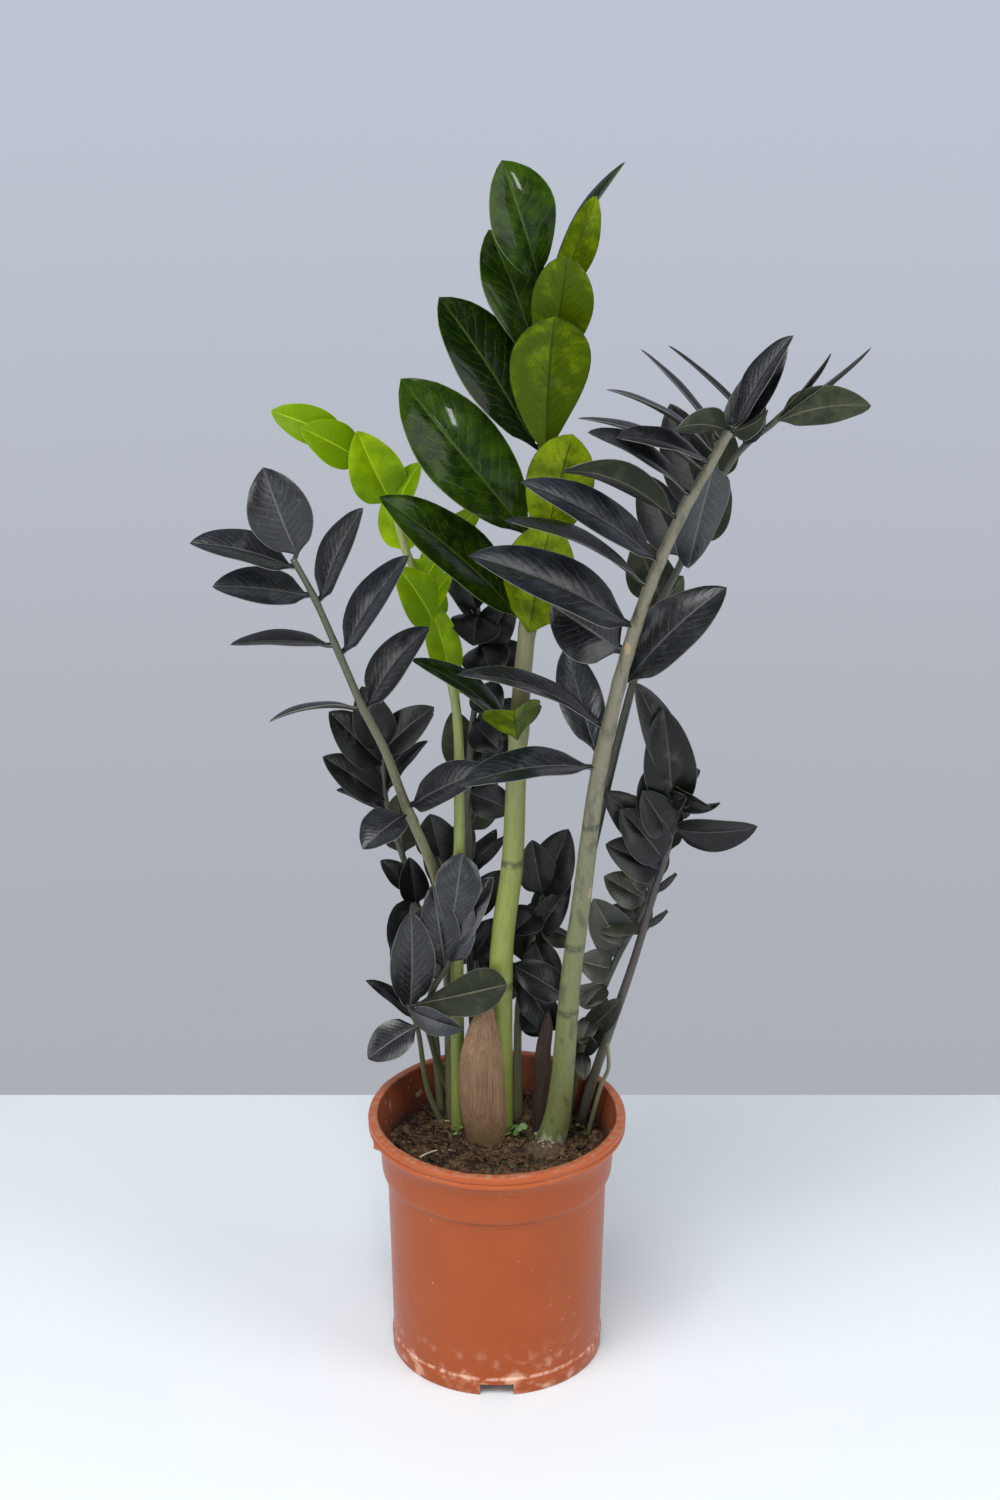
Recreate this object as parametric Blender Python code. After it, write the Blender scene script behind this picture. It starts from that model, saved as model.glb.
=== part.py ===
"""A zz plant with near-black leaves, growing in a terracotta-coloured plastic nursery pot.

The pot stands on the ground plane. Sizes below are in millimetres; the meshes are in metres, +Z up.
Across is +X, back is +Y, and every height is measured from the ground.
"""

import math

import bmesh
import bpy
from mathutils import Matrix, Vector

MM = 0.001

# The pot's axis, off the middle of the plant's spread, which is the origin.
POT_ACROSS = -25
POT_BACK = -5

# The pot.
POT_HEIGHT = 176
RIM_RADIUS = 85
RIM_INNER_RADIUS = 78.4
LIP_DEPTH = 10
COLLAR_RADIUS = 76.5
COLLAR_FOOT = 135
BODY_TOP_RADIUS = 72.2
BODY_FOOT_RADIUS = 69.6
WALL = 1.6
FOOT_RADIUS = 70.6
FOOT_BAND = 11
FOOT_RING_WIDTH = 4.6
FLOOR_UNDERSIDE = 9
FLOOR_THICKNESS = 2
POT_SEGMENTS = 48
NOTCH_WIDTH = 22.5
NOTCH_HEIGHT = 8.5
NOTCHES = 4
DRAIN_RADIUS = 5
DRAIN_CIRCLE = 44
DRAINS = 6

# The soil stands this high, with this gap to whatever it touches.
SOIL_TOP = 146
GAP = 0.3

# Leaf blades.
BLADE_THICKNESS = 1.5
PETIOLE_HALF_WIDTH = 1.3
CANE_BLADE_STATIONS = (0.0, 0.07, 0.2, 0.38, 0.56, 0.74, 0.9)
SHOOT_BLADE_STATIONS = (0.0, 0.1, 0.35, 0.65, 0.88)
FRONT = Vector((0.0, -0.91, 0.41))
STEM_SIDES = 8
STEM_STEP = 26

for old in list(bpy.data.objects):
    bpy.data.objects.remove(old, do_unlink=True)


def finish(name, color, roughness, metallic=0.0):
    material = bpy.data.materials.new(name)
    material.use_nodes = True
    shader = material.node_tree.nodes["Principled BSDF"]
    shader.inputs["Base Color"].default_value = (*color, 1.0)
    shader.inputs["Roughness"].default_value = roughness
    shader.inputs["Metallic"].default_value = metallic
    return material


def place(name, bm, material, collection=None):
    """Makes a named object of a mesh built round the pot's axis in millimetres."""
    move = Matrix.Translation((POT_ACROSS, POT_BACK, 0))
    bmesh.ops.transform(bm, matrix=Matrix.Scale(MM, 4) @ move, verts=bm.verts)
    bmesh.ops.recalc_face_normals(bm, faces=bm.faces)
    mesh = bpy.data.meshes.new(name)
    bm.to_mesh(mesh)
    bm.free()
    mesh.shade_smooth()
    mesh.set_sharp_from_angle(angle=math.radians(40))
    mesh.materials.append(material)
    piece = bpy.data.objects.new(name, mesh)
    (collection or bpy.context.scene.collection).objects.link(piece)
    return piece


def turned(profile, segments):
    """A solid of revolution from a closed profile of (radius, height) points; the axis is at radius 0."""
    bm = bmesh.new()
    rings = []
    for radius, height in profile:
        if radius == 0:
            rings.append([bm.verts.new((0, 0, height))] * segments)
            continue
        turns = [2 * math.pi * i / segments for i in range(segments)]
        rings.append([bm.verts.new((radius * math.cos(a), radius * math.sin(a), height)) for a in turns])
    pairs = list(zip(rings, rings[1:] + rings[:1]))
    for ring, after in pairs:
        for i in range(segments):
            j = (i + 1) % segments
            corners = list(dict.fromkeys((ring[i], ring[j], after[j], after[i])))
            if len(corners) > 2:
                bm.faces.new(corners)
    return bm


def hide_cutter(piece):
    piece.hide_render = True
    piece.display_type = "WIRE"


def boolean(piece, operation, collection):
    modifier = piece.modifiers.new(operation.title(), "BOOLEAN")
    modifier.operation = operation
    modifier.operand_type = "COLLECTION"
    modifier.collection = collection
    modifier.solver = "EXACT"


def cutters_of(name):
    collection = bpy.data.collections.new(name)
    bpy.context.scene.collection.children.link(collection)
    return collection


# The pot: one thin moulded wall with a rolled rim, a wider collar under it, and a foot ring
# that lifts the floor and is notched so that water can run out.
floor_top = FLOOR_UNDERSIDE + FLOOR_THICKNESS
pot_profile = [
    (RIM_INNER_RADIUS + 0.6, POT_HEIGHT),
    (RIM_RADIUS - 1.2, POT_HEIGHT),
    (RIM_RADIUS, POT_HEIGHT - 1.4),
    (RIM_RADIUS, POT_HEIGHT - LIP_DEPTH + 0.8),
    (RIM_RADIUS - 1.6, POT_HEIGHT - LIP_DEPTH),
    (COLLAR_RADIUS + 3.4, POT_HEIGHT - LIP_DEPTH - 2.5),
    (COLLAR_RADIUS + 0.6, POT_HEIGHT - LIP_DEPTH - 8),
    (COLLAR_RADIUS, COLLAR_FOOT + 6),
    (COLLAR_RADIUS - 1.2, COLLAR_FOOT),
    (BODY_TOP_RADIUS + 0.6, COLLAR_FOOT - 3),
    (BODY_TOP_RADIUS, COLLAR_FOOT - 9),
    (BODY_FOOT_RADIUS, FOOT_BAND + 2),
    (FOOT_RADIUS, FOOT_BAND),
    (FOOT_RADIUS, 0.8),
    (FOOT_RADIUS - 0.8, 0),
    (FOOT_RADIUS - FOOT_RING_WIDTH, 0),
    (FOOT_RADIUS - FOOT_RING_WIDTH, FLOOR_UNDERSIDE),
    (0, FLOOR_UNDERSIDE),
    (0, floor_top),
    (BODY_FOOT_RADIUS - WALL - 2, floor_top),
    (BODY_FOOT_RADIUS - WALL, floor_top + 2),
    (BODY_TOP_RADIUS - WALL, COLLAR_FOOT - 6),
    (COLLAR_RADIUS - WALL - 0.8, COLLAR_FOOT + 1),
    (COLLAR_RADIUS - WALL, COLLAR_FOOT + 6),
    (COLLAR_RADIUS - WALL + 0.4, POT_HEIGHT - LIP_DEPTH - 4),
    (RIM_INNER_RADIUS, POT_HEIGHT - 2),
]
terracotta = finish("pot_plastic", (0.46, 0.13, 0.055), 0.42)
pot = place("pot", turned(pot_profile, POT_SEGMENTS), terracotta)

pot_cutters = cutters_of("pot_cutters")
for i in range(NOTCHES):
    bm = bmesh.new()
    bmesh.ops.create_cube(bm, size=1)
    size = Matrix.Diagonal((NOTCH_WIDTH, 20, 2 * NOTCH_HEIGHT, 1))
    turn = Matrix.Rotation(2 * math.pi * i / NOTCHES, 4, "Z")
    bmesh.ops.transform(bm, matrix=turn @ Matrix.Translation((0, -FOOT_RADIUS, 0)) @ size, verts=bm.verts)
    hide_cutter(place(f"notch_cutter_{i + 1}", bm, terracotta, pot_cutters))
for i in range(DRAINS):
    turn = 2 * math.pi * (i + 0.5) / DRAINS
    bm = bmesh.new()
    bmesh.ops.create_cone(
        bm, cap_ends=True, segments=12, radius1=DRAIN_RADIUS, radius2=DRAIN_RADIUS, depth=4 * FLOOR_THICKNESS
    )
    centre = (DRAIN_CIRCLE * math.cos(turn), DRAIN_CIRCLE * math.sin(turn), (FLOOR_UNDERSIDE + floor_top) / 2)
    bmesh.ops.translate(bm, vec=centre, verts=bm.verts)
    hide_cutter(place(f"drain_cutter_{i + 1}", bm, terracotta, pot_cutters))
boolean(pot, "DIFFERENCE", pot_cutters)

# The soil: one plug of peat that fills the pot to below the rim.
soil_profile = [
    (0, floor_top + GAP),
    (BODY_FOOT_RADIUS - WALL - 2.4, floor_top + GAP),
    (BODY_FOOT_RADIUS - WALL - GAP, floor_top + 2 + GAP),
    (BODY_TOP_RADIUS - WALL - GAP, COLLAR_FOOT - 5.5),
    (COLLAR_RADIUS - WALL - 0.8 - GAP, COLLAR_FOOT + 1.5),
    (COLLAR_RADIUS - WALL - GAP, COLLAR_FOOT + 6),
    (COLLAR_RADIUS - WALL - GAP, SOIL_TOP - 1),
    (COLLAR_RADIUS - WALL - 2, SOIL_TOP),
    (0, SOIL_TOP),
]
place("soil", turned(soil_profile, 48), finish("soil_peat", (0.045, 0.03, 0.02), 0.95))


def through(points, step):
    """Points about step apart on the smooth curve that passes through the given ones."""
    points = [Vector(p) for p in points]
    ends = [2 * points[0] - points[1]] + points + [2 * points[-1] - points[-2]]
    curve = []
    for a, b, c, d in zip(ends, ends[1:], ends[2:], ends[3:]):
        count = max(1, round((c - b).length / step))
        for k in range(count):
            t = k / count
            square = (2 * a - 5 * b + 4 * c - d) * t**2
            curve.append(0.5 * (2 * b + (c - a) * t + square + (3 * b - a - 3 * c + d) * t**3))
    return curve + [points[-1]]


def shaft(points, radii, flare=0.0):
    """A stem's centre line, and its radius at each point, thinning from the first radius to the last."""
    curve = through(points, STEM_STEP)
    run = [0.0]
    for a, b in zip(curve, curve[1:]):
        run.append(run[-1] + (b - a).length)
    share = [x / run[-1] for x in run]
    thickness = [radii[0] + (radii[1] - radii[0]) * s + flare * math.exp(-30 * s) for s in share]
    return curve, thickness


def tube(curve, thickness, sides=STEM_SIDES):
    """A closed tube of many flats round a centre line; its foot is cut level with the ground."""
    bm = bmesh.new()
    side = Vector((1, 0, 0))
    rings = []
    for i, point in enumerate(curve):
        along = (curve[min(i + 1, len(curve) - 1)] - curve[max(i - 1, 0)]).normalized()
        if i == 0:
            along = Vector((0, 0, 1))
        side = (side - along * side.dot(along)).normalized()
        other = along.cross(side)
        ring = []
        for k in range(sides):
            a = 2 * math.pi * k / sides
            ring.append(bm.verts.new(point + thickness[i] * (math.cos(a) * side + math.sin(a) * other)))
        rings.append(ring)
    for ring, after in zip(rings, rings[1:]):
        for k in range(sides):
            bm.faces.new((ring[k], ring[(k + 1) % sides], after[(k + 1) % sides], after[k]))
    bm.faces.new(rings[0])
    bm.faces.new(rings[-1])
    return bm


def on_stem(stem, height):
    """The point, direction and radius where a stem passes a height."""
    curve, thickness = stem
    for i in range(len(curve) - 1):
        low, high = curve[i], curve[i + 1]
        if low.z <= height <= high.z:
            t = (height - low.z) / max(high.z - low.z, 1e-6)
            return low.lerp(high, t), (high - low).normalized(), thickness[i] * (1 - t) + thickness[i + 1] * t
    return curve[-1], (curve[-1] - curve[-2]).normalized(), thickness[-1]


def half_width(s, widest):
    """A blade's outline: its half width, as a share of the widest, from the stalk to the tip."""
    return max(0.0, math.sin(math.pi * s ** (math.log(0.5) / math.log(widest)))) ** 0.85


def blade(stations, foot, reach, width, face, arch=0.07, fold=14, widest=0.45):
    """One leaflet: a thin lens along a midrib from its foot, reaching across, back and up.

    face is how far its upper side is turned from the front, in degrees; arch is how much the
    midrib bows towards the upper side, as a share of its length; fold lifts the two halves;
    widest is how far along it is widest.
    """
    bm = bmesh.new()
    reach = Vector(reach)
    along = reach.normalized()
    upper = (FRONT - along * FRONT.dot(along)).normalized()
    upper = Matrix.Rotation(math.radians(face), 3, along) @ upper
    side = along.cross(upper)
    lift = math.tan(math.radians(fold))
    rings = []
    for s in stations:
        mid = foot + reach * s + upper * (arch * reach.length * 4 * s * (1 - s))
        half = max(PETIOLE_HALF_WIDTH, width / 2 * half_width(s, widest))
        thick = BLADE_THICKNESS / 2 * (1 - 0.5 * s)
        ring = (
            mid + side * half + upper * lift * half,
            mid + upper * thick,
            mid - side * half + upper * lift * half,
            mid - upper * thick,
        )
        rings.append([bm.verts.new(p) for p in ring])
    tip = bm.verts.new(foot + reach)
    for ring, after in zip(rings, rings[1:]):
        for k in range(4):
            bm.faces.new((ring[k], ring[(k + 1) % 4], after[(k + 1) % 4], after[k]))
    for k in range(4):
        bm.faces.new((rings[-1][k], rings[-1][(k + 1) % 4], tip))
    bm.faces.new(rings[0])
    return bm


def foot_of(stem, height, reach, clear):
    """Where a leaflet starts: just clear of the stem's skin, or inside it where the two are one solid."""
    point, along, radius = on_stem(stem, height)
    reach = Vector(reach)
    out = (reach - along * reach.dot(along)).normalized()
    slope = abs(reach.normalized().dot(along))
    if not clear:
        return point + out * (0.3 * radius)
    return point + out * (radius + GAP + 0.3 + PETIOLE_HALF_WIDTH * slope)


def cane(name, stem, leaves, stem_finish, leaf_finish):
    """A stout stem and its leaflets, each a piece of its own."""
    place(f"stem_{name}", tube(*stem), finish(f"stem_{name}", *stem_finish))
    for i, (height, reach, width, face, *shape) in enumerate(leaves):
        foot = foot_of(stem, height, reach, True)
        leaf = f"leaf_{name}_{i + 1:02d}"
        place(leaf, blade(CANE_BLADE_STATIONS, foot, reach, width, face, *shape), finish(leaf, *leaf_finish))


def shoot(name, stem, leaves, look):
    """A slender stem with its leaflets grown into it as one solid."""
    piece = place(f"shoot_{name}", tube(*stem, sides=6), finish(f"shoot_{name}", *look))
    if not leaves:
        return
    grown = cutters_of(f"{name}_leaflets")
    for i, (height, reach, width, face, *shape) in enumerate(leaves):
        foot = foot_of(stem, height, reach, False)
        leaflet = blade(SHOOT_BLADE_STATIONS, foot, reach, width, face, *shape)
        hide_cutter(place(f"{name}_leaflet_{i + 1}", leaflet, piece.data.materials[0], grown))
    boolean(piece, "UNION", grown)


BLACK_LEAF = ((0.018, 0.022, 0.026), 0.34)
GREEN_LEAF = ((0.02, 0.07, 0.012), 0.3)
LIME_LEAF = ((0.3, 0.5, 0.02), 0.42)
GREEN_STEM = ((0.3, 0.36, 0.1), 0.5)
GREY_STEM = ((0.19, 0.21, 0.12), 0.55)
foot_height = SOIL_TOP + GAP

# The tallest stem, bright green, with the largest and greenest leaflets in a column up its top half.
# Each leaflet: the height where it leaves the stem, its reach, its width and its facing.
green = shaft(
    [
        (2, 20, foot_height),
        (3, 18, 280),
        (10, 14, 352),
        (13, 9, 430),
        (18, 2, 509),
        (27, -4, 581),
        (30, -9, 660),
        (30, -14, 748),
    ],
    (9, 3.2),
)
green_leaves = [
    (749, (-22, -10, 76), 42, 15, 0.07, 14, 0.6),
    (742, (42, 26, 70), 30, -72, 0.05, 10),
    (735, (24, -30, 74), 24, 150, 0.03, 8, 0.5),
    (686, (9, -32, 88), 38, 165, 0.02, 8, 0.6),
    (636, (4, -36, 102), 48, 178, 0.02, 8, 0.64),
    (690, (-30, 12, 84), 44, 25, 0.07, 14, 0.58),
    (640, (-58, 6, 94), 44, 20, 0.07, 14, 0.58),
    (582, (-78, -6, 104), 52, 10, 0.07, 14, 0.58),
    (527, (-84, -34, 93), 44, 40, 0.07, 14, 0.52),
    (572, (17, -28, 90), 42, 168, 0.0, 2, 0.62),
    (520, (13, -28, 84), 46, 172, 0.02, 4, 0.5),
    (452, (-60, -33, 60), 26, 58),
    (446, (-2, -32, 34), 38, 190, 0.02, 26, 0.55),
]
cane("green", green, green_leaves, GREEN_STEM, GREEN_LEAF)

# The stout grey-green stem on the right, which leans outward and carries dark leaflets in two ranks.
right = shaft(
    [
        (35, 8, foot_height),
        (39, 7.5, 162),
        (43, 6, 195),
        (48, 2, 273),
        (54, -5, 332),
        (63, -18, 425),
        (75, -30, 495),
        (86, -40, 544),
        (98, -46, 583),
        (111, -52, 617),
        (126, -59, 650),
        (137, -64, 674),
    ],
    (8, 2.6),
    flare=2.5,
)
right_leaves = [
    (435, (-82, -28, 0), 34, 55),
    (464, (-88, -24, 46), 26, 62, 0.1),
    (443, (-18, 22, 62), 28, 5, 0.05, 10, 0.5),
    (538, (-96, -36, 60), 40, 38),
    (567, (-84, -34, 54), 28, 68),
    (584, (-80, -34, 62), 34, 45),
    (613, (-68, -36, 42), 32, 116, 0.11, 14, 0.55),
    (629, (-60, -28, 48), 28, 60),
    (651, (-54, -26, 24), 28, 60),
    (657, (-62, 6, 36), 20, 78),
    (645, (-73, 4, 30), 22, 75),
    (666, (-46, 18, 48), 14, 70, 0.03),
    (674, (31, -10, 60), 22, -50, 0.05),
    (664, (36, 14, 56), 22, -20, 0.05),
    (676, (-32, -36, 12), 24, 120),
    (677, (18, -26, 22), 16, 130),
    (648, (-11, 43, -82), 34, -30, -0.03, 0, 0.44),
    (497, (60, 12, 58), 40, -30),
    (519, (-42, 8, 27), 42, 0),
]
cane("right", right, right_leaves, GREY_STEM, BLACK_LEAF)

# The slender dark stem that arches out to the left, with its leaflets in pairs.
left = shaft(
    [
        (-30, 46, foot_height),
        (-32, 42, 265),
        (-38, 33, 326),
        (-58, 14, 393),
        (-70, -4, 439),
        (-83, -18, 475),
        (-95, -34, 515),
        (-109, -50, 560),
        (-121, -60, 590),
    ],
    (4.6, 1.8),
)
left_leaves = [
    (591, (-18, -14, 61), 38, 0, 0.07, 14, 0.55),
    (585, (-60, -8, 19), 30, 48),
    (564, (-56, -14, 12), 30, 40, 0.03),
    (526, (-60, -10, 5), 22, 62, 0.04),
    (476, (-54, -12, -4), 20, 80, 0.08),
    (558, (26, -2, 60), 28, -45),
    (518, (40, -4, 65), 28, -42),
    (474, (38, -2, 54), 30, -38),
    (392, (50, -22, 36), 30, -40),
    (387, (-26, -24, -12), 32, 40),
]
cane("left", left, left_leaves, GREY_STEM, BLACK_LEAF)

# The new lime-green shoot between them, its leaflets still soft and pale.
lime = shaft(
    [
        (-26, 32, foot_height),
        (-26, 29, 273),
        (-24, 24, 379),
        (-26, 24, 459),
        (-41, 26, 521),
        (-57, 30, 562),
        (-67, 32, 597),
        (-86, 34, 623),
        (-94, 36, 633),
    ],
    (5, 1.8),
)
lime_leaves = [
    (632, (-45, 2, 18), 24, 0),
    (620, (-36, -10, 24), 28, 10),
    (592, (-20, -14, 52), 34, 0),
    (599, (6, -4, 20), 10, 20),
    (584, (16, -10, 38), 20, -30),
    (555, (18, 4, -24), 18, 0),
    (509, (-24, -12, 48), 30, 20),
    (524, (14, -10, 28), 14, -20),
    (474, (-14, 0, 58), 22, 10),
    (537, (38, 8, 52), 24, -30),
    (467, (18, -3, 16), 10, 0),
    (560, (-10, 34, 30), 28, 180),
]
shoot("lime", lime, lime_leaves, LIME_LEAF)

# Shorter dark shoots that crowd round the tall stems.
behind_left = shaft(
    [(-38, 54, foot_height), (-46, 62, 255), (-59, 70, 317), (-72, 76, 361), (-75, 80, 401)], (3, 1.6)
)
behind_left_leaves = [
    (401, (-12, -4, 48), 28, 10),
    (392, (-34, -6, 40), 30, 15),
    (368, (-40, -6, 33), 26, 20),
    (400, (34, -4, 34), 26, -20),
    (389, (33, 8, 35), 24, -50),
    (372, (28, 14, 31), 20, -60),
    (358, (-34, 8, 13), 18, 60),
    (380, (-8, 34, 24), 26, 180),
    (296, (-4, -12, 40), 20, 10),
    (302, (-8, -16, -44), 26, 0, 0.1),
    (306, (-20, -2, 22), 16, 20),
    (330, (-4, 32, 28), 26, 180),
]
shoot("behind_left", behind_left, behind_left_leaves, BLACK_LEAF)

middle = shaft(
    [(-13, 42, foot_height), (-17, 39, 264), (-19, 39, 344), (-17, 42, 421), (-10, 43, 481), (-12, 42, 518)],
    (3.4, 1.6),
)
middle_leaves = [
    (505, (-22, -2, 30), 16, 40),
    (516, (-14, -4, 34), 22, 0),
    (512, (-3, -30, -8), 32, 0, 0.1, 10, 0.55),
    (492, (8, -32, -10), 31, 0, 0.1, 10, 0.55),
    (488, (20, -4, 38), 26, -10),
    (474, (30, 2, 14), 24, -20),
    (463, (14, -28, -6), 24, 0, 0.1, 10, 0.55),
    (450, (30, -8, -6), 22, 10),
    (438, (16, -24, -8), 24, 0, 0.1, 10, 0.55),
    (428, (30, -2, 0), 22, 20),
    (436, (44, 8, 10), 24, 10),
    (390, (28, -2, -12), 24, 10),
    (379, (13, 14, 36), 26, 0),
    (334, (24, 6, 22), 9, 0),
    (268, (20, -2, 32), 24, -10),
    (300, (22, 8, 30), 20, -10),
    (404, (-10, 34, 28), 26, 180),
    (362, (16, 32, 26), 26, 180),
]
shoot("middle", middle, middle_leaves, BLACK_LEAF)

behind_right = shaft(
    [
        (46, 27, foot_height),
        (48, 29, 261),
        (62, 36, 351),
        (93, 50, 486),
        (115, 56, 539),
        (146, 58, 608),
        (174, 58, 637),
    ],
    (4, 1.8),
)
behind_right_leaves = [
    (637, (57, -8, 12), 30, -140, 0.1, 10, 0.45),
    (636, (34, 6, 42), 11, 70, 0.02),
    (634, (61, 12, 46), 12, 75, 0.02),
    (632, (-36, -18, -4), 10, 60, 0.02),
    (628, (-58, 2, 56), 12, 70, 0.03),
    (620, (10, -6, 32), 14, 0),
    (576, (-22, 10, 68), 34, 0),
    (546, (-26, 4, 54), 32, 0),
    (596, (-6, 36, 36), 30, 180),
    (560, (24, 44, 20), 32, 180),
    (518, (-14, 44, 24), 32, 180),
    (495, (24, 36, 26), 30, 200),
    (246, (-36, 8, 20), 24, 10),
]
shoot("behind_right", behind_right, behind_right_leaves, BLACK_LEAF)

purple = shaft(
    [(56, 34, foot_height), (66, 30, 190), (88, 29, 266), (101, 29, 318), (112, 30, 364), (112, 30, 404)],
    (3.6, 1.8),
)
purple_leaves = [
    (404, (-24, -6, 70), 26, 25),
    (382, (-7, -8, 76), 34, 0),
    (399, (25, -18, -7), 18, 60),
    (402, (18, 4, 6), 12, 0),
    (384, (30, -10, 8), 12, 60),
    (369, (54, -14, 8), 28, 40),
    (388, (8, -22, 14), 14, 0),
    (365, (-19, -15, 38), 26, 10),
    (361, (-17, -5, 50), 28, 0),
    (354, (-41, -2, 42), 28, 5),
    (346, (-29, -11, 42), 30, 5),
    (338, (-36, -13, 26), 28, 10),
    (338, (-24, -12, 0), 14, 140),
    (323, (14, 4, 12), 5, 0),
    (297, (15, 4, 11), 5, 0),
    (350, (-6, 36, 30), 30, 180),
    (372, (4, 36, 24), 26, 180),
]
shoot("purple", purple, purple_leaves, BLACK_LEAF)

olive = shaft(
    [(47, 43, foot_height), (58, 40, 208), (76, 38, 262), (88, 40, 288), (98, 40, 312), (102, 40, 330)],
    (3.2, 1.5),
)
olive_leaves = [
    (290, (-29, -9, 12), 26, 10),
    (312, (-28, -6, 20), 24, 10),
    (326, (-16, -12, 16), 22, 10),
    (328, (8, 10, 18), 14, 0),
    (278, (-20, -13, 42), 28, 0),
    (300, (-26, -14, -4), 24, 25),
    (262, (-23, -14, 14), 24, 10),
    (250, (-14, -16, -8), 16, 20),
    (240, (-18, -14, 14), 18, 0),
    (226, (-8, -16, -12), 14, 10),
    (216, (22, -15, 32), 18, 0),
    (206, (4, -20, 16), 16, 20),
    (199, (2, -18, -12), 12, 0),
    (192, (18, 2, 46), 18, 0),
    (270, (-14, 14, 26), 18, 0),
    (286, (12, 26, 20), 22, 180),
]
shoot("olive", olive, olive_leaves, ((0.06, 0.07, 0.035), 0.45))

centre = shaft([(14, 44, foot_height), (15, 44, 237), (26, 46, 288), (31, 48, 316)], (3.2, 1.6))
centre_leaves = [
    (312, (-7, -4, 42), 26, 0),
    (312, (16, -4, 50), 30, -10),
    (300, (-18, -12, -10), 24, 20),
    (281, (14, -12, -32), 24, 10),
    (292, (28, 2, -14), 24, 120),
    (240, (-18, -8, 24), 30, 10),
    (281, (22, -2, 38), 20, 0),
    (228, (18, -8, -6), 20, 20),
    (215, (24, -6, 4), 12, 30),
    (252, (22, -10, -34), 24, 10),
    (262, (6, 28, 32), 28, 180),
    (292, (20, 30, 24), 24, 170),
]
shoot("centre", centre, centre_leaves, BLACK_LEAF)

front_left = shaft([(-38, 38, foot_height), (-47, 34, 176), (-52, 26, 222), (-58, 18, 246)], (2.2, 1.4))
front_left_leaves = [
    (245, (2, -10, 75), 30, 10, 0.07, 14, 0.5),
    (245, (64, -26, 30), 30, 165, 0.04, 8, 0.66),
    (241, (34, -18, -4), 20, 30),
    (226, (-32, -8, -20), 26, 20),
    (232, (-32, 6, 26), 16, 55),
    (238, (-14, 18, 40), 22, 40),
]
shoot("front_left", front_left, front_left_leaves, BLACK_LEAF)

front_middle = shaft(
    [
        (-24, 56, foot_height),
        (-35, 53, 168),
        (-43, 41, 204),
        (-47, 31, 232),
        (-41, 24, 256),
        (-32, 20, 276),
        (-30, 16, 300),
    ],
    (3, 1.6),
)
front_middle_leaves = [
    (272, (-8, -3, 62), 26, 0),
    (276, (14, -3, 50), 26, -10),
    (262, (-18, 4, 40), 24, 10),
    (298, (8, 0, 60), 30, 5, 0.05, 12, 0.66),
    (288, (28, 4, 50), 22, -20),
]
shoot("front_middle", front_middle, front_middle_leaves, BLACK_LEAF)

back_left = shaft([(-4, 58, foot_height), (-10, 61, 229), (-24, 63, 286), (-37, 64, 332)], (3, 1.6))
back_left_leaves = [
    (332, (-7, -2, 32), 28, 0),
    (323, (18, -4, 34), 28, -10),
    (296, (22, -2, 16), 22, 10),
    (283, (16, -6, -16), 22, 10),
    (267, (20, -4, -14), 10, 0),
    (308, (-14, -12, 16), 16, 10),
    (298, (-34, -16, -24), 24, 10),
    (317, (32, -2, 36), 20, 40),
    (285, (4, 32, 24), 28, 180),
    (310, (-14, 34, 24), 26, 180),
    (240, (12, 30, 24), 26, 180),
    (252, (-20, 22, 26), 24, 170),
]
shoot("back_left", back_left, back_left_leaves, BLACK_LEAF)

thin = shaft([(61, 21, foot_height), (69, 22, 182), (74, 22, 196), (73, 19, 216)], (1.8, 1.2))
shoot("thin", thin, [], ((0.25, 0.26, 0.14), 0.5))

# The dried sheath: a brown papery boat that stands in front of the green stem and cups it.
SHEATH_STATIONS = [
    (foot_height, -7, 11, 12, 6),
    (165, -8, 9, 15, 8),
    (190, -10, 8, 15.5, 8),
    (215, -10, 8, 14, 7.5),
    (235, -9, 8, 10, 6),
    (249, -7, 7, 5, 3.5),
]
SHEATH_TIP = (-6, 7, 259)


def curled_shell(stations, tip, thickness, points=7, sweep=150):
    """A thin shell, hollow towards the back, from level arcs of (height, across, back, width, depth)."""
    bm = bmesh.new()
    rings = []
    for height, across, back, half, depth in stations:
        outer = []
        inner = []
        for k in range(points):
            a = math.radians(-90 - sweep / 2 + sweep * k / (points - 1))
            for arc, shrink in ((outer, 0), (inner, thickness)):
                x = across + (half - shrink) * math.cos(a)
                y = back + (depth - shrink) * math.sin(a)
                arc.append(bm.verts.new((x, y, height)))
        rings.append(outer + inner[::-1])
    count = len(rings[0])
    for ring, after in zip(rings, rings[1:]):
        for k in range(count):
            bm.faces.new((ring[k], ring[(k + 1) % count], after[(k + 1) % count], after[k]))
    top = bm.verts.new(tip)
    for k in range(count):
        bm.faces.new((rings[-1][k], rings[-1][(k + 1) % count], top))
    last = count - 1
    for k in range(points - 1):
        bm.faces.new((rings[0][k], rings[0][k + 1], rings[0][last - k - 1], rings[0][last - k]))
    return bm


place(
    "sheath_brown",
    curled_shell(SHEATH_STATIONS, SHEATH_TIP, 1.4),
    finish("sheath_brown", (0.16, 0.09, 0.06), 0.8),
)

DARK_SHEATH_STATIONS = [
    (foot_height, 29, 24, 5, 3.5),
    (175, 30, 25, 6, 4),
    (205, 31, 26, 5.5, 4),
    (225, 33, 27, 4, 3),
]
place(
    "sheath_dark",
    curled_shell(DARK_SHEATH_STATIONS, (34, 26, 238), 1.2, points=5),
    finish("sheath_dark", (0.03, 0.02, 0.018), 0.8),
)
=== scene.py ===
"""A zz plant with near-black leaves, growing in a terracotta-coloured plastic nursery pot.

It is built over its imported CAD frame. Sizes are in millimetres from the point where the pot's axis meets the
ground: across is +X, back is +Y and up is +Z. Meshes are made in metres.
"""

import math
import random

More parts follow.
